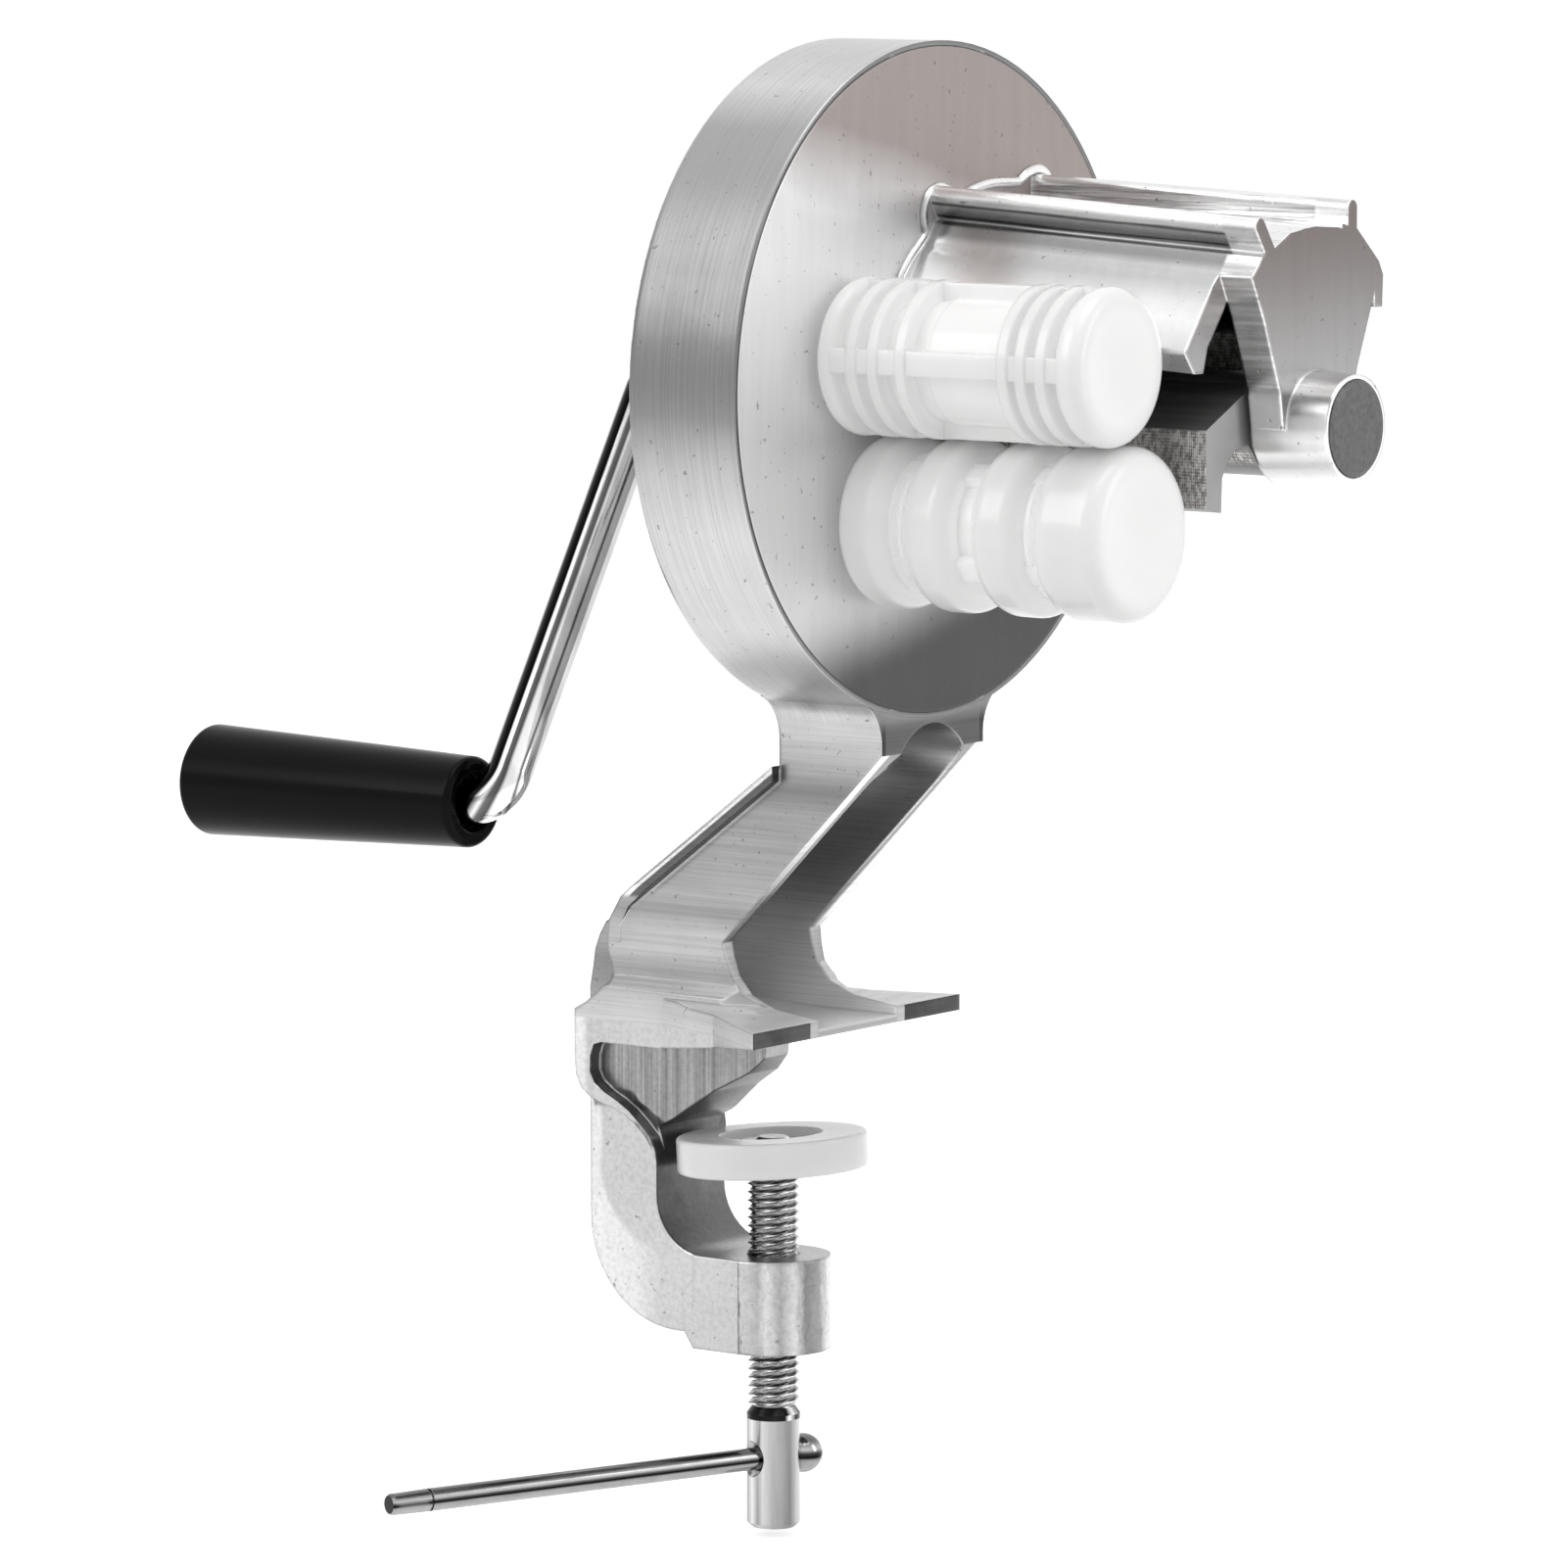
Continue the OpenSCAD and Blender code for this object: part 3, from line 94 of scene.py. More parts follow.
NECK_LONG = 0.0030       # polished neck below it

# Studio: each lamp has its place, what it looks at, width, height and power.
LAMPS = {
    "lamp_left": ((-0.6, -1.2, 0.9), (0, 0, 0.1), 0.8, 1.0, 6),
    "lamp_top": ((0.4, -0.1, 1.3), (0, 0, 0.1), 0.9, 0.9, 5),
    "lamp_right": ((1.2, 0.6, 0.5), (0.05, 0, 0.12), 0.5, 0.9, 2.5),
}
ROOM_LIGHT = 0.62
FLOOR_HALF = 3.0
FLOOR_GAP = 0.002

# Camera, fitted to the photograph.
PHOTO_PIXELS = 1601
FOCAL_PIXELS = 8890.388
SENSOR_MM = 36.0
CAMERA_PLACE = (1.088049, -1.462618, 0.262126)
CAMERA_RIGHT = (0.803177, 0.595740, -0.000892)
CAMERA_UP = (-0.068018, 0.093188, 0.993322)
CAMERA_BACK = (0.591845, -0.797753, 0.115368)


class Wire:
    """A socket that can be used in sums."""

    def __init__(self, shader, socket):
        self.shader = shader
        self.socket = socket

    def _math(self, kind, a, b):
        return self.shader.add("ShaderNodeMath", {"operation": kind}, {0: a, 1: b})

    def __add__(self, other):
        return self._math("ADD", self, other)

    __radd__ = __add__

    def __sub__(self, other):
        return self._math("SUBTRACT", self, other)

    def __rsub__(self, other):
        return self._math("SUBTRACT", other, self)

    def __mul__(self, other):
        return self._math("MULTIPLY", self, other)

    __rmul__ = __mul__

    def __pow__(self, other):
        return self._math("POWER", self, other)


def grey(shown, warm=0.0):
    """Colour that shows as this share of white on screen, a little warm or cool."""
    level = ((shown + 0.055) / 1.055) ** 2.4
    return (level * (1 + warm), level, level * (1 - warm), 1)


class Finish:
    """One procedural material."""

    def __init__(self, name, **constants):
        self.material = bpy.data.materials.new(name)
        self.material.use_nodes = True
        self.tree = self.material.node_tree
        self.tree.nodes.clear()
        self.shader = self.tree.nodes.new("ShaderNodeBsdfPrincipled")
        out = self.tree.nodes.new("ShaderNodeOutputMaterial")
        self.tree.links.new(self.shader.outputs[0], out.inputs[0])
        place = self.tree.nodes.new("ShaderNodeTexCoord")
        self.coords = Wire(self, place.outputs["Object"])
        self.x, self.y, self.z = self.parts(self.coords)
        self.nx, self.ny, self.nz = self.parts(Wire(self, place.outputs["Normal"]))
        for socket, value in constants.items():
            self.put(socket.replace("_", " "), value)

    def add(self, kind, settings=None, inputs=None, out=0):
        """Adds any node: its settings first, then its sockets. Returns the output as a wire."""
        made = self.tree.nodes.new(kind)
        for key, value in (settings or {}).items():
            if key == "stops":
                ramp = made.color_ramp
                while len(ramp.elements) < len(value):
                    ramp.elements.new(0.5)
                for element, (place, colour) in zip(ramp.elements, value):
                    element.position = place
                    element.color = colour
            else:
                setattr(made, key, value)
        for key, value in (inputs or {}).items():
            if isinstance(value, Wire):
                self.tree.links.new(value.socket, made.inputs[key])
            else:
                made.inputs[key].default_value = value
        return Wire(self, made.outputs[out])

    def parts(self, vector):
        """The three parts of a vector."""
        first = self.add("ShaderNodeSeparateXYZ", None, {0: vector})
        return [Wire(self, output) for output in first.socket.node.outputs]

    def put(self, socket, value):
        if isinstance(value, Wire):
            self.tree.links.new(value.socket, self.shader.inputs[socket])
        else:
            self.shader.inputs[socket].default_value = value

    def placed(self, scale=(1, 1, 1), location=(0, 0, 0), rotation=(0, 0, 0)):
        return self.add("ShaderNodeMapping", None, {
            "Vector": self.coords, "Scale": scale, "Location": location, "Rotation": rotation})

    def noise(self, vector, scale, detail=3.0, rough=0.5):
        return self.add("ShaderNodeTexNoise", None, {
            "Vector": vector, "Scale": scale, "Detail": detail, "Roughness": rough})

    def ramp(self, factor, stops):
        """A colour that changes with factor; each stop is a place and a shown grey or a colour."""
        whole = [(place, tone if isinstance(tone, tuple) else grey(tone)) for place, tone in stops]
        return self.add("ShaderNodeValToRGB", {"stops": whole}, {"Fac": factor})

    def fade(self, value, low, high, to_low=0.0, to_high=1.0):
        """A soft change from one number to another between two marks."""
        return self.add("ShaderNodeMapRange", {"interpolation_type": "SMOOTHSTEP"}, {
            "Value": value, "From Min": low, "From Max": high,
            "To Min": to_low, "To Max": to_high})

    def below(self, value, low, high):
        """One below the low mark and zero above the high one."""
        return self.fade(value, low, high, 1.0, 0.0)

    def most(self, a, b):
        return self.add("ShaderNodeMath", {"operation": "MAXIMUM"}, {0: a, 1: b})

    def wave(self, angle):
        return self.add("ShaderNodeMath", {"operation": "SINE"}, {0: angle})

    def mix(self, factor, a, b, kind="MIX"):
        return self.add("ShaderNodeMix", {"data_type": "RGBA", "blend_type": kind},
                        {0: factor, 6: a, 7: b}, out=2)

    def size(self, value):
        return self.add("ShaderNodeMath", {"operation": "ABSOLUTE"}, {0: value})

    def from_axis(self):
        """Distance from the axis of the drum."""
        height = self.z - AXIS_Z
        return (self.y * self.y + height * height) ** 0.5

    def bump(self, height, strength, distance, edge):
        soft = self.add("ShaderNodeBevel", {"samples": 8}, {"Radius": edge})
        self.put("Normal", self.add("ShaderNodeBump", None, {
            "Height": height, "Strength": strength, "Distance": distance, "Normal": soft}))


def pitting(f, scale=800.0):
    """Small dark pores of a casting, as a mask."""
    return f.below(f.noise(f.coords, scale, 2.0, 0.5), 0.25, 0.31)


def leg_colour(f, cloud):
    """Tones of the leg and the feet, brushed and left as cast, with painted light, shade,
    highlights and reflections by height and by facing.
    """
    out_y = f.size(f.y)
    above = f.fade(f.z, 0.0008, 0.0016)
    # Painted light and shade in bands by height on the side walls.
    level = f.z + (cloud - 0.5) * 0.002
    wall = f.ramp(f.fade(level, 0.0, WALL_TOP), [
        (0.0, 0.76), (0.03, 0.66), (0.08, 0.60), (0.14, 0.70), (0.22, 0.70), (0.30, 0.58),
        (0.38, 0.66), (0.60, 0.62), (0.80, 0.60), (0.88, 0.50), (0.93, 0.62), (1.0, 0.74)])
    # Painted light and shade by facing on the other faces: darker looking down, lighter looking
    # up.
    turned = f.ramp(f.nz * 0.5 + 0.5, [
        (0.0, 0.50), (0.2, 0.60), (0.5, 0.72), (0.75, 0.66), (1.0, 0.74)])
    colour = f.mix(f.fade(f.size(f.ny), 0.5, 0.8), turned, wall)
    # Painted highlight: the tops of the feet, looking up, are nearly white.
    tread = f.fade(f.nz, 0.5, 0.75) * f.fade(f.nx, -0.45, -0.25) * f.fade(f.z, 0.0, 0.001)
    colour = f.mix(tread, colour, grey(0.96))

    # Painted shade and highlight on the slanted front lip of each wall: darker next to the
    # channel, light beyond.
    slant = f.fade(f.nx - f.nz, 0.75, 1.15)
    middle = f.below(out_y, CHANNEL_HALF - 0.0004, CHANNEL_HALF + 0.0004)
    raised = f.fade(f.z, 0.014, 0.024)
    lip = f.mix(f.fade(out_y, CHANNEL_HALF + 0.0008, CHANNEL_HALF + 0.0020),
                grey(0.55), grey(0.95))
    colour = f.mix(slant * (1 - middle) * raised, colour, lip)
    # Painted light and shade on the front of the channel: light at the foot, darker towards the
    # top under the drum.
    floor = f.ramp(f.fade(f.z + (cloud - 0.5) * 0.006, 0.002, WALL_TOP), [
        (0.0, 0.97), (0.06, 0.90), (0.18, 0.80), (0.32, 0.72), (0.62, 0.66), (0.88, 0.74),
        (1.0, 0.5)])
    front = f.fade(f.nx, 0.25, 0.55) * above
    colour = f.mix(front * middle, colour, floor)
    # Painted light on the side walls of the channel, looking inwards.
    inward = f.below(f.ny * f.y, -0.012, -0.009) * above
    inner = f.mix(f.fade(f.x - f.z, -0.026, 0.0), grey(0.80), grey(1.0))
    colour = f.mix(inward, colour, inner)

    # Painted highlight and shade on the rear ribs: light on one side of the crest line, dark on
    # the other.
    rib = (f.fade(f.z, RIB_FOOT, RIB_FOOT + 0.002) * f.below(f.z, RIB_TOP, RIB_TOP + 0.0005)
           * f.below(f.x, RIB_X, RIB_X + 0.0005))
    crest = f.fade(f.x * 0.6 - f.z * 0.8, -0.0356, -0.0352)
    colour = f.mix(rib * f.fade(out_y, RIB_HALF, RIB_HALF + 0.0004), colour,
                   f.mix(crest, grey(0.92), grey(0.38)))
    # Painted shadow on the walls just under the rear ribs.
    under = (rib * f.fade(out_y, LEG_HALF, LEG_HALF + 0.0001)
             * f.below(f.size(f.ny), 0.4, 0.6) * f.fade(f.nx - f.nz, 0.7, 1.0))
    colour = f.mix(under, colour, f.mix(cloud, grey(0.24), grey(0.38)))

    # Painted shade on the front of the web under the drum.
    ahead = f.fade(f.nx, 0.8, 0.9)
    web = (ahead * f.fade(f.z, WEB_FOOT, WEB_FOOT + 0.003) * f.fade(f.x, WEB_X, WEB_X + 0.002)
           * f.below(f.x, WEB_FRONT, WEB_FRONT + 0.0004))
    colour = f.mix(web, colour, f.mix(cloud, grey(0.30), grey(0.46)))
    # Painted reflection: the sawn tips of the feet are dark.
    tips = (ahead * f.fade(f.x, TIP_X, TIP_X + 0.0005)
            * f.fade(out_y, TIP_HALF, TIP_HALF + 0.0005))
    return f.mix(tips, colour, f.mix(f.fade(cloud, 0.4, 0.6), grey(0.24), grey(0.34)))


def clamp_colour(f, cloud, colour):
    """Tones of the clamp frame under the feet, which is blasted and not brushed, with painted
    highlights, shade and reflections.
    """
    out_y = f.size(f.y)
    side = f.fade(f.size(f.ny), 0.5, 0.8)
    # Painted highlight along the back edge of the spine and round its bend, over a blasted tone
    # that varies at random.
    drop = f.z - BEND_Z
    bend = f.x - (SPINE_X + BEND_R)
    arc = (bend * bend + drop * drop) ** 0.5
    low = f.below(drop, -0.0005, 0.0005) * f.below(bend, -0.0005, 0.0005)
    edge = (low * f.fade(arc, BEND_R - 0.0034, BEND_R - 0.0016) * f.below(bend, -0.011, -0.002)
            + (1 - low) * f.below(f.x, SPINE_X + 0.0022, SPINE_X + 0.0038))
    plain = f.mix(f.fade(cloud, 0.3, 0.7), grey(0.72), grey(0.80))
    colour = f.mix(side, colour, f.mix(edge, plain, grey(0.86)))
    # Painted shade in the hollow above the nut boss.
    hollow = (f.fade(f.nx, 0.2, 0.5) * f.below(f.x, HOLLOW_X, HOLLOW_X + 0.004)
              * f.fade(f.z, NUT_TOP - 0.001, NUT_TOP))
    colour = f.mix(hollow, colour, f.mix(f.fade(cloud, 0.35, 0.65), grey(0.30), grey(0.46)))

    # Streaks on the walls of the pocket behind the pad, in a darker tone that is painted shade in
    # the pocket.
    streaks = f.noise(f.placed((1500, 1500, 14)), 1.0, 4.0, 0.6)
    past = f.most(f.fade(out_y, PILLAR_HALF, PILLAR_HALF + 0.0005),
                  f.fade(f.x, PILLAR_X, PILLAR_X + 0.0008))
    pocket = (past * f.below(out_y, POCKET_HALF, POCKET_HALF + 0.0005)
              * f.fade(f.z, POCKET_FOOT, POCKET_FOOT + 0.001)
              * f.below(f.z, POCKET_TOP, POCKET_TOP + 0.0006)
              * f.fade(f.size(f.ny), 0.05, 0.3))
    colour = f.mix(pocket, colour, f.mix(f.fade(streaks, 0.3, 0.7), grey(0.50), grey(0.66)))

    away = (f.x * f.x + f.y * f.y) ** 0.5
    nut = (f.fade(away, NUT_R - 0.0004, NUT_R - 0.0002)
           * f.below(away, NUT_R + 0.0002, NUT_R + 0.0004)
           * f.below(f.z, NUT_TOP, NUT_TOP + 0.0004) * f.fade(f.x, -0.0005, 0.0))
    speckle = f.noise(f.placed((700, 700, 300)), 1.0, 3.0, 0.6)
    # Painted reflection bands round the nut boss, by facing, broken up by the speckle.
    around = f.nx * 0.4 + f.ny * 0.3 + 0.5 + (speckle - 0.5) * 0.12
    banded = f.ramp(around, [
        (0.0, 0.60), (0.18, 0.30), (0.205, 0.34), (0.24, 0.74), (0.36, 0.66), (0.44, 0.80),
        (0.56, 0.62), (0.68, 0.80), (0.78, 0.50), (0.90, 0.60), (0.97, 0.86), (1.0, 0.9)])
    return f.mix(nut, colour, banded)


def body_finish():
    """Machined drum, leg brushed crosswise and blasted clamp frame."""
    f = Finish("brushed_casting")
    drum = (f.fade(f.from_axis(), SEAM_R - 0.0005, SEAM_R + 0.0005)
            * f.fade(f.z, LEG_TOP - 0.004, LEG_TOP))
    clamp = f.below(f.z, -0.0006, 0.0)
    around = f.noise(f.placed((2600, 22, 22)), 1.0, 5.0, 0.6)
    across = f.noise(f.placed((24, 24, 2100)), 1.0, 5.0, 0.6)
    blasted = f.noise(f.coords, 900.0, 3.0, 0.7)
    brushed = drum * around + (1 - drum) * (clamp * blasted + (1 - clamp) * across)
    cloud = f.noise(f.coords, 30.0, 4.0, 0.6)
    pores = pitting(f)
    # Painted reflection bands on the drum's rim, lighter and darker by facing.
    rim = f.ramp(f.nz * 0.5 + 0.5, [
        (0.0, 0.76), (0.08, 0.80), (0.20, 0.81), (0.30, 0.78), (0.385, 0.70), (0.47, 0.55),
        (0.58, 0.48), (0.68, 0.54), (0.77, 0.66), (0.88, 0.70), (0.94, 0.86), (1.0, 0.80)])
    cast = leg_colour(f, cloud)
    colour = f.mix(drum, f.mix(clamp, cast, clamp_colour(f, cloud, cast)), rim)
    colour = f.mix(f.fade(brushed, 0.35, 0.72) * 0.22, colour, grey(0.55), "MULTIPLY")
    colour = f.mix(f.fade(cloud, 0.3, 0.7) * 0.12, colour, grey(0.55), "MULTIPLY")
    f.put("Base Color", f.mix(pores * 0.6, colour, grey(0.35)))

    above = f.fade(f.z, 0.0, 0.0006)
    deep = (f.below(f.size(f.y), CHANNEL_HALF, CHANNEL_HALF + 0.0006) * above
            * f.below(f.z, 0.012, 0.030))
    tread = f.fade(f.nz, 0.5, 0.75) * above * f.below(f.z, 0.010, 0.014)
    f.put("Metallic", 1 - f.most(deep, tread) * 0.75)
    f.put("Roughness", f.fade(cloud, 0.3, 0.7, 0.27, 0.36) + (brushed - 0.5) * 0.12)
    f.bump(brushed * 0.4 - pores, 0.2, 0.0002, 0.0011)
    return f.material


def hood_colour(f, out):
    """Tones of the polished hood, with painted reflections and shade: its rails, inside, bracket
    and boss.
    """
    high = (f.z + out * HOOD_FALL - CUTTER_Z) * (1 / CUTTER_R)
    wide = (f.y - CUTTER_Y) * (1 / CUTTER_R)
    lines = f.noise(f.placed((9, 420, 420)), 1.0, 4.0, 0.6)
    # Painted reflection bands along the near rail by height, with black and white lines.
    near = f.ramp(high - 0.6 + (lines - 0.5) * 0.03, [
        (0.0, 0.86), (0.30, 0.97), (0.40, 0.92), (0.52, 0.80), (0.62, 0.80), (0.67, 0.62),
        (0.77, 0.60), (0.785, 0.08), (0.80, 0.55), (0.855, 0.76), (0.872, 0.30), (0.89, 0.95),
        (1.0, 1.0)])
    # Painted reflection bands on the far side, set by the polishing streaks and by facing.
    far = f.ramp(lines + f.nz * 0.3, [
        (0.0, 0.60), (0.40, 0.86), (0.46, 0.62), (0.52, 0.92), (0.62, 0.80), (0.70, 0.96),
        (1.0, 0.9)])
    hood = f.mix(f.fade(wide, -0.62, -0.55), near, far)
    # Painted shade: the inside of the hood is nearly black.
    inward = f.ny * (CUTTER_Y - f.y) + f.nz * (CUTTER_Z - f.z)
    inner = f.fade(inward, 0.010, 0.014) * f.fade(out, 0.001, 0.0035)
    hood = f.mix(inner, hood, grey(0.14))
    plate = f.fade(f.x, BRACKET_X - 0.0004, BRACKET_X + 0.0004)
    ribs = f.noise(f.placed((40, 40, 900)), 1.0, 2.0, 0.5)
    flank = (plate * f.below(f.ny, -0.8, -0.6) * f.fade(high, 0.30, 0.36)
             * f.fade(wide, -0.90, -0.86))
    hood = f.mix(flank, hood, f.mix(f.fade(ribs, 0.35, 0.65), grey(0.80), grey(0.98)))
    # Painted light and shade by facing on the boss: darker on top under the hood, lighter below.
    boss = plate * f.below(f.size(f.nx), 0.5, 0.7) * f.below(high, 0.38, 0.42)
    return f.mix(boss, hood, f.ramp(f.nz * 0.5 + 0.5, [
        (0.0, 0.92), (0.2, 0.78), (0.4, 0.97), (0.6, 0.80), (0.8, 0.62), (1.0, 0.70)]))


def cover_finish():
    """Lapped face of the cover, with painted reflections, and the polished hood cast on it."""
    f = Finish("lapped_cover")
    out = f.x - FACE_X
    cloud = f.noise(f.coords, 24.0, 4.0, 0.55)
    fine = f.noise(f.placed((300, 300, 30)), 1.0, 4.0, 0.6)
    pores = pitting(f, 650.0)
    # Painted reflection on the lapped face: light through the middle, warm and darker towards the
    # top.
    height = f.z + (cloud - 0.5) * 0.012 + f.y * 0.25
    face = f.ramp(f.fade(height, 0.058, 0.212), [
        (0.0, 0.88), (0.62, 0.94), (0.78, 0.94),
        (0.90, (0.375, 0.325, 0.315, 1)), (1.0, (0.36, 0.315, 0.305, 1))])
    # Painted dark reflection over the lower part of the face.
    shade = f.z - f.y * 0.25 + (cloud - 0.5) * 0.008
    face = f.mix(f.fade(shade, 0.082, 0.107), f.mix(cloud, grey(0.24), grey(0.36)), face)
    flat = f.fade(f.nx, 0.9, 0.97) * f.below(out, 0.0005, 0.001)
    colour = f.mix(flat, hood_colour(f, out), face)
    # Painted reflection on the end face of the boss: grey below, warm and dark towards the top.
    end = f.fade(f.nx, 0.8, 0.95) * f.fade(f.x, 0.06, 0.062)
    rising = f.fade(f.z + (cloud - 0.5) * 0.01, 0.135, 0.172)
    colour = f.mix(end, colour, f.mix(rising, grey(0.68), (0.215, 0.188, 0.184, 1)))
    colour = f.mix(end * f.fade(out, BOSS_RING, BOSS_RING + 0.0005), colour, grey(0.97))
    colour = f.mix(f.fade(fine, 0.3, 0.7) * 0.08, colour, grey(0.60), "MULTIPLY")
    # Painted shade: a thin dark line in the gap at the seam between drum and cover.
    seam = (f.below(f.size(f.from_axis() - SEAM_R), 0.00012, 0.0003)
            * f.below(f.x, SEAM_X, SEAM_X + 0.002))
    f.put("Base Color", f.mix(f.most(pores * 0.5, seam * 0.85), colour, grey(0.25)))

    lapped = f.below(out, 0.0005, 0.002)
    f.put("Metallic", 1 - lapped * 0.45)
    f.put("Roughness", f.fade(cloud, 0.3, 0.7, 0.20, 0.30) + lapped * 0.20)
    f.bump(0.25 * fine - pores, 0.25, 0.0002, 0.0010)
    return f.material


def steel_finish(name, stops, rough, lines=(300, 300, 300), facing=(0.8, 0.6, 0.0)):
    """Turned or drawn steel with soft painted reflection bands by facing; facing is the way that
    the last stop looks.
    """
    f = Finish(name, Metallic=1.0)
    streak = f.noise(f.placed(lines), 1.0, 3.0, 0.6)
    side = (f.nx * facing[0] + f.ny * facing[1] + f.nz * facing[2]) * 0.5 + 0.5
    # Painted reflections: a shown grey for each facing.
    colour = f.ramp(side, stops)
    f.put("Base Color", f.mix(f.fade(streak, 0.35, 0.7) * 0.25, colour, grey(0.55), "MULTIPLY"))
    f.put("Roughness", f.fade(streak, 0.3, 0.7, rough - 0.03, rough + 0.05))
    f.bump(streak, 0.08, 0.0001, 0.0003)
    return f.material


def screw_finish(stops):
    """Clamp screw: thread, polished undercut and turned head, each with painted reflection bands
    by facing.
    """
    f = Finish("clamp_screw_steel", Metallic=1.0)
    lines = f.noise(f.placed((500, 500, 30)), 1.0, 3.0, 0.6)
    side = (f.nx * 0.8 + f.ny * 0.6) * 0.5 + 0.5
    # Painted reflection bands on the head, by facing.
    head = f.ramp(side, stops)
    spot = f.noise(f.placed((260, 260, 60)), 1.0, 3.0, 0.6)
    # Painted reflection bands on the thread: black on faces looking down, white on faces looking
    # up.
    thread = f.ramp(f.nz * 0.5 + 0.5 + (spot - 0.5) * 0.06, [
        (0.0, 0.02), (0.42, 0.05), (0.52, 0.60), (0.58, 1.0), (0.85, 1.0), (1.0, 0.6)])
    colour = f.mix(f.fade(f.z, THREAD_END - 0.0003, THREAD_END + 0.0003), head, thread)
    neck_end = THREAD_END - NECK_LONG
    neck = (f.fade(f.z, neck_end - 0.0002, neck_end)
            * f.below(f.z, THREAD_END - 0.0004, THREAD_END))
    # Painted reflection on the polished undercut: nearly black, with one bright band.
    dark = f.ramp(side, [
        (0.0, 0.10), (0.55, 0.14), (0.72, 0.10), (0.80, 0.95), (0.90, 0.12), (1.0, 0.3)])
    colour = f.mix(neck, colour, dark)
    f.put("Base Color", f.mix(f.fade(lines, 0.35, 0.7) * 0.2, colour, grey(0.55), "MULTIPLY"))
    f.put("Roughness", f.fade(lines, 0.3, 0.7, 0.16, 0.26))
    f.bump(lines, 0.08, 0.0001, 0.0003)
    return f.material


def milky_finish(name, shown, rough, reach, axes=()):
    """Translucent moulded plastic with a painted glow that is brighter round each axis: a y, a z
    and a radius.
    """
    # Painted glow: the plastic gives out a little light of its own, though it is no lamp.
    f = Finish(name, Subsurface_Weight=0.8, Subsurface_Radius=(0.008, 0.008, 0.0085),
               Subsurface_Scale=reach, IOR=1.49, Coat_Weight=0.15, Emission_Strength=0.22)
    f.put("Emission Color", grey(0.34))
    glow = 0.0
    for y, z, radius in axes:
        across, high = f.y - y, f.z - z
        away = (across * across + high * high) ** 0.5
        glow = glow + f.below(away, radius - 0.006, radius - 0.0005)
    if axes:
        f.put("Emission Color", f.mix(glow, grey(0.34), grey(0.86)))
    cloud = f.noise(f.coords, 60.0, 3.0, 0.5)
    swirl = f.noise(f.placed((60, 260, 260)), 1.0, 3.0, 0.5)
    f.put("Base Color", f.mix(f.fade(cloud, 0.3, 0.7),
                              grey(shown - 0.015, 0.004), grey(shown, 0.001)))
    f.put("Roughness", f.fade(swirl, 0.3, 0.7, rough - 0.03, rough + 0.05))
    f.bump(swirl, 0.06, 0.0002, 0.0009)
    return f.material


def grip_finish():
    """Glossy black moulded plastic."""
    f = Finish("grip_black", IOR=1.45, Specular_IOR_Level=0.09)
    cloud = f.noise(f.coords, 80.0, 3.0, 0.5)
    flow = f.noise(f.placed((20, 200, 200)), 1.0, 3.0, 0.5)
    f.put("Base Color", f.mix(cloud, grey(0.015), grey(0.035)))
    f.put("Roughness", f.fade(flow, 0.3, 0.7, 0.16, 0.26))
    f.bump(flow, 0.05, 0.0002, 0.0006)
    return f.material


def cutter_finish():
    """Milled cutter with a cross-hatched grip on the flat of each blade."""
    f = Finish("milled_cutter")
    cloud = f.noise(f.coords, 60.0, 4.0, 0.6)
    hatch = f.wave((f.x * 1.3 + f.z) * 4800.0) * f.wave((f.x * 1.3 - f.z) * 4800.0)
    flat = f.fade(f.size(f.ny), 0.6, 0.8)
    milled = f.noise(f.placed((20, 600, 600)), 1.0, 3.0, 0.6)
    worn = f.noise(f.placed((900, 300, 500), (0, 0, 0), (0, 0.7, 0)), 1.0, 3.0, 0.7)
    marks = f.fade(worn * 0.75 + hatch * 0.06, 0.28, 0.48)
    rough_side = f.mix(marks, grey(0.52, 0.03), grey(0.84, 0.03))
    sawn = f.mix(milled, grey(0.34), grey(0.60))
    sawn = f.mix(f.fade(f.nx, 0.8, 0.9), sawn, f.mix(cloud, grey(0.55), grey(0.70)))
    f.put("Base Color", f.mix(flat, sawn, rough_side))
    f.put("Metallic", flat * 0.5 + 0.5)
    f.put("Roughness", f.fade(cloud, 0.3, 0.7, 0.34, 0.46))
    f.bump((hatch * 0.5 + worn) * flat + milled * 0.3, 0.5, 0.0003, 0.0004)
    return f.material


def cap_finish():
    """Blasted end of the bearing pin."""
    f = Finish("blasted_cap", Metallic=0.85)
    speck = f.noise(f.coords, 900.0, 3.0, 0.6)
    f.put("Base Color", f.mix(speck, grey(0.26), grey(0.50)))
    f.put("Roughness", f.fade(speck, 0.3, 0.7, 0.42, 0.55))
    f.bump(speck, 0.2, 0.0002, 0.0004)
    return f.material


def fillet_finish():
    """Hand-dressed fillet where the hood meets the cover."""
    f = Finish("dressed_fillet", Metallic=1.0)
    rub = f.noise(f.coords, 500.0, 3.0, 0.6)
    # Painted highlight and shade on the bead by facing.
    side = f.ny * 0.35 + f.nx * 0.25 + f.nz * 0.1 + 0.4
    f.put("Base Color", f.ramp(side + (rub - 0.5) * 0.08, [
        (0.0, 0.50), (0.3, 0.66), (0.5, 0.84), (0.65, 0.94), (1.0, 0.90)]))
    f.put("Roughness", f.fade(rub, 0.3, 0.7, 0.22, 0.34))
    return f.material


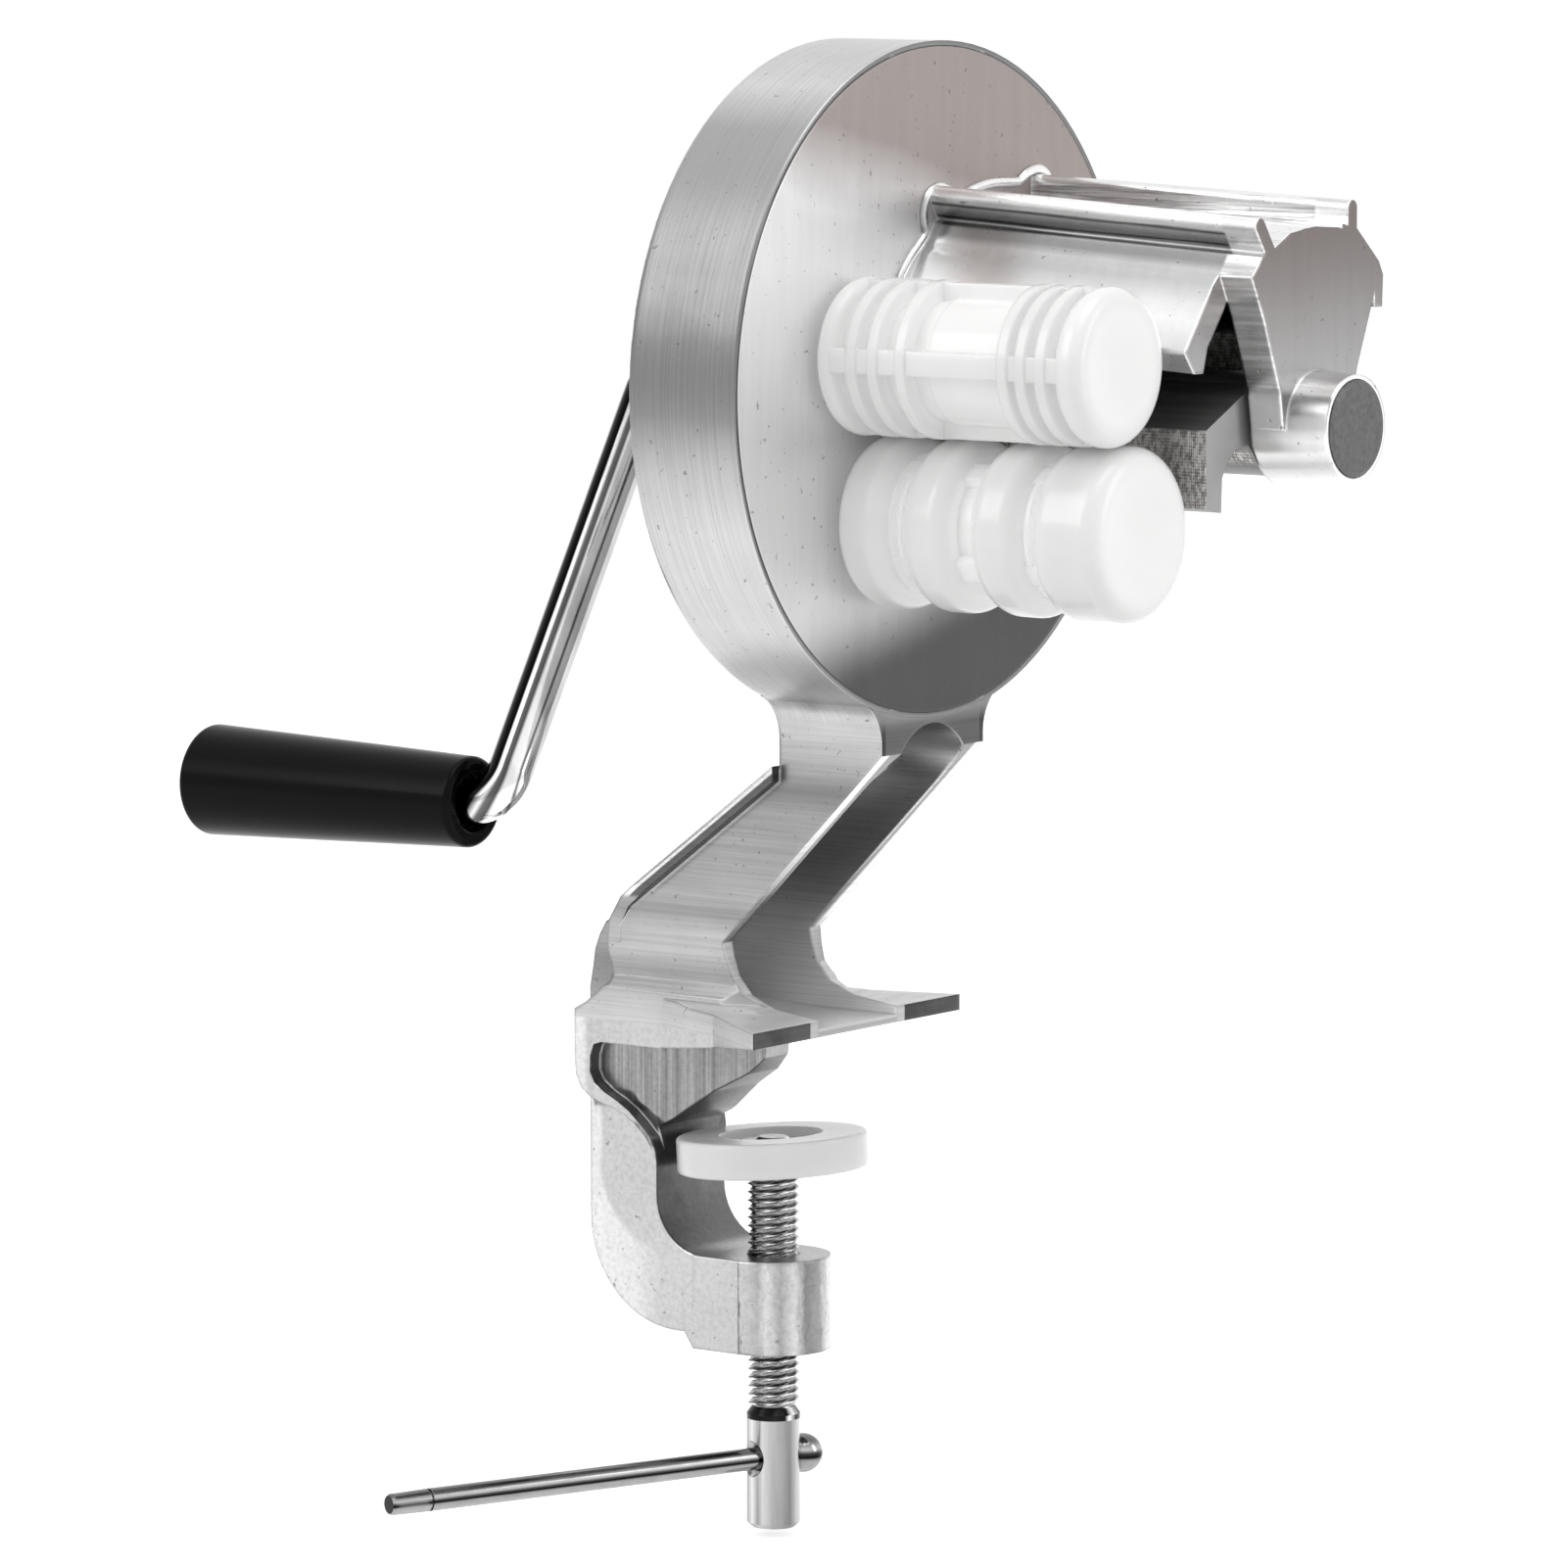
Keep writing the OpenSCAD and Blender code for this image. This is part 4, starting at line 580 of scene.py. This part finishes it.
def dress_nodes():
    """Gives each node of the CAD model its finish, by its slot or by its own name."""
    # Stops of painted reflection bands by facing for each steel: a place along the facing and a
    # shown grey or a colour.
    drawn = [
        (0.0, 0.86), (0.06, 0.78), (0.09, 0.03), (0.27, 0.05), (0.34, 0.90), (0.39, 0.42),
        (0.48, 0.32), (0.54, 0.95), (0.72, 1.0), (0.76, 0.30), (0.80, 0.92), (1.0, 0.72)]
    turned = [
        (0.0, 0.52), (0.10, 0.90), (0.20, 0.62), (0.30, 0.80), (0.50, 0.66), (0.80, 0.52),
        (1.0, 0.84)]
    barred = [
        (0.0, 0.24), (0.12, 0.68), (0.36, 0.62), (0.44, 0.03), (0.55, 0.20), (0.66, 0.78),
        (0.84, 0.45), (1.0, 0.5)]
    dull = [(0.0, 0.55), (1.0, 0.65)]
    bronze = [(0.0, (0.42, 0.27, 0.13, 1)), (1.0, (0.5, 0.33, 0.16, 1))]
    upwards = (0.0, 0.0, 1.0)
    finishes = {
        "cast": body_finish(),
        "cover": cover_finish(),
        "steel": steel_finish("turned_steel", turned, 0.20, (60, 60, 900)),
        "screw": screw_finish(turned),
        "dark_steel": steel_finish("dark_steel", dull, 0.32),
        "chrome": steel_finish("polished_rod", drawn, 0.09, (40, 200, 40)),
        "bar": steel_finish("drawn_bar", barred, 0.12, (400, 60, 900), upwards),
        "bronze": steel_finish("bush_bronze", bronze, 0.3),
        "roller": milky_finish("roller_white", 0.93, 0.20, 0.9, ROLLERS),
        "pad": milky_finish("pad_white", 0.90, 0.18, 0.6),
        "grip": grip_finish(),
        "cap": cap_finish(),
        "cutter": cutter_finish(),
    }
    looks = {part["node"]: part["material_slot"] for part in frame["record"]["subparts"]}
    looks.update({"cover_casting": "cover", "tommy_bar": "bar", "tommy_knob": "bar",
                  "clamp_screw": "screw"})
    for name, node in nodes.items():
        node.data.materials.clear()
        node.data.materials.append(finishes[looks[name]])


def smooth_path(points, steps=6):
    """Points on a smooth curve through the given points."""
    ends = [points[0]] + points + [points[-1]]
    path = []
    for a, b, c, d in zip(ends, ends[1:], ends[2:], ends[3:]):
        for k in range(steps):
            s = k / steps
            path.append((b * 2 + (c - a) * s + (a * 2 - b * 5 + c * 4 - d) * s * s
                         + (b * 3 - a - c * 3 + d) * s * s * s) * 0.5)
    return path + [points[-1]]


def bead(name, points, radius, sides=12):
    """Round bead of casting along a curve on a flat face that looks along X."""
    path = smooth_path(points)
    across = Vector((1, 0, 0))
    turns = [2 * math.pi * j / sides for j in range(sides)]
    rings = []
    for k, place in enumerate(path):
        along = (path[min(k + 1, len(path) - 1)] - path[max(k - 1, 0)]).normalized()
        level = along.cross(across)
        rings.append([place + (across * math.cos(turn) + level * math.sin(turn)) * radius
                      for turn in turns])
    first = path[0] - (path[1] - path[0]).normalized() * radius
    last = path[-1] + (path[-1] - path[-2]).normalized() * radius
    corners = [corner for ring in rings for corner in ring] + [first, last]
    faces = []
    for k in range(len(rings) - 1):
        for j in range(sides):
            n = (j + 1) % sides
            faces.append((k * sides + j, k * sides + n, (k + 1) * sides + n, (k + 1) * sides + j))
    end = (len(rings) - 1) * sides
    for j in range(sides):
        n = (j + 1) % sides
        faces.append((len(corners) - 2, n, j))
        faces.append((len(corners) - 1, end + j, end + n))
    mesh = bpy.data.meshes.new(name)
    mesh.from_pydata([tuple(corner) for corner in corners], [], faces)
    for polygon in mesh.polygons:
        polygon.use_smooth = True
    made = bpy.data.objects.new(name, mesh)
    scene.collection.objects.link(made)
    return made


def root_bead():
    """The bead round the root of the hood; its places are shares of the cutter's radius."""
    shares = (
        (-1.345, 0.62), (-1.36, 0.76), (-1.26, 0.95), (-1.14, 1.09), (-1.03, 1.18),
        (-0.945, 1.26), (-0.96, 1.34), (-0.965, 1.43), (-0.93, 1.51), (-0.865, 1.56),
        (-0.77, 1.58), (-0.675, 1.555), (-0.58, 1.51), (-0.47, 1.525), (-0.355, 1.555),
        (-0.20, 1.58), (-0.045, 1.585), (0.14, 1.58), (0.20, 1.60), (0.26, 1.635),
        (0.335, 1.655), (0.42, 1.66), (0.49, 1.63), (0.54, 1.57), (0.58, 1.48), (0.62, 1.37))
    root = bead("hood_root_bead", [
        Vector((FACE_X, CUTTER_Y + y * CUTTER_R, CUTTER_Z + z * CUTTER_R)) for y, z in shares],
        BEAD_R)
    root.data.materials.append(fillet_finish())
    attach(root, "frame")


def shown_rays(tree):
    """One for the camera and for reflections and refractions, otherwise zero."""
    path = tree.nodes.new("ShaderNodeLightPath")
    total = path.outputs["Is Camera Ray"]
    for kind in ("Is Glossy Ray", "Is Transmission Ray"):
        both = tree.nodes.new("ShaderNodeMath")
        both.operation = "MAXIMUM"
        tree.links.new(total, both.inputs[0])
        tree.links.new(path.outputs[kind], both.inputs[1])
        total = both.outputs[0]
    return total


def backdrop():
    """White background for the camera and reflections, and a softer one for the light."""
    world = bpy.data.worlds.new("studio")
    scene.world = world
    world.use_nodes = True
    tree = world.node_tree
    tree.nodes.clear()
    out = tree.nodes.new("ShaderNodeOutputWorld")
    white = tree.nodes.new("ShaderNodeBackground")
    white.inputs["Color"].default_value = (1, 1, 1, 1)
    room = tree.nodes.new("ShaderNodeBackground")
    room.inputs["Color"].default_value = (1, 1, 1, 1)
    room.inputs["Strength"].default_value = ROOM_LIGHT
    pick = tree.nodes.new("ShaderNodeMixShader")
    tree.links.new(shown_rays(tree), pick.inputs[0])
    tree.links.new(room.outputs[0], pick.inputs[1])
    tree.links.new(white.outputs[0], pick.inputs[2])
    tree.links.new(pick.outputs[0], out.inputs[0])


def pale_floor():
    """Plain floor just under the part, which shows white but keeps the shadow."""
    low = cad_box[0][2] - FLOOR_GAP
    corners = [(x * FLOOR_HALF, y * FLOOR_HALF, low)
               for x, y in ((-1, -1), (1, -1), (1, 1), (-1, 1))]
    mesh = bpy.data.meshes.new("studio_floor")
    mesh.from_pydata(corners, [], [(0, 1, 2, 3)])
    floor = bpy.data.objects.new("studio_floor", mesh)
    scene.collection.objects.link(floor)
    pale = bpy.data.materials.new("floor_white")
    pale.use_nodes = True
    tree = pale.node_tree
    tree.nodes.clear()
    out = tree.nodes.new("ShaderNodeOutputMaterial")
    dull = tree.nodes.new("ShaderNodeBsdfDiffuse")
    dull.inputs["Color"].default_value = (0.8, 0.8, 0.8, 1)
    glow = tree.nodes.new("ShaderNodeEmission")
    glow.inputs["Strength"].default_value = ROOM_LIGHT
    lit = tree.nodes.new("ShaderNodeAddShader")
    tree.links.new(dull.outputs[0], lit.inputs[0])
    tree.links.new(glow.outputs[0], lit.inputs[1])
    pick = tree.nodes.new("ShaderNodeMixShader")
    tree.links.new(shown_rays(tree), pick.inputs[0])
    tree.links.new(dull.outputs[0], pick.inputs[1])
    tree.links.new(lit.outputs[0], pick.inputs[2])
    tree.links.new(pick.outputs[0], out.inputs[0])
    mesh.materials.append(pale)


def lamp(name, place, target, width, height, power):
    """Soft rectangular lamp that looks at the target."""
    data = bpy.data.lights.new(name, "AREA")
    data.shape = "RECTANGLE"
    data.size = width
    data.size_y = height
    data.energy = power
    light = bpy.data.objects.new(name, data)
    light.location = place
    towards = Vector(target) - Vector(place)
    light.rotation_euler = towards.to_track_quat("-Z", "Y").to_euler()
    scene.collection.objects.link(light)


def photo_camera():
    """Camera fitted to the photograph."""
    data = bpy.data.cameras.new("photo_camera")
    data.sensor_fit = "HORIZONTAL"
    data.sensor_width = SENSOR_MM
    data.lens = FOCAL_PIXELS / PHOTO_PIXELS * SENSOR_MM
    data.clip_start = 0.05
    data.clip_end = 20
    camera = bpy.data.objects.new("photo_camera", data)
    turn = Matrix((CAMERA_RIGHT, CAMERA_UP, CAMERA_BACK)).transposed().to_4x4()
    camera.matrix_world = Matrix.Translation(CAMERA_PLACE) @ turn
    scene.collection.objects.link(camera)
    scene.camera = camera


root_bead()
dress_nodes()
backdrop()
pale_floor()
for lamp_name, setting in LAMPS.items():
    lamp(lamp_name, *setting)
photo_camera()
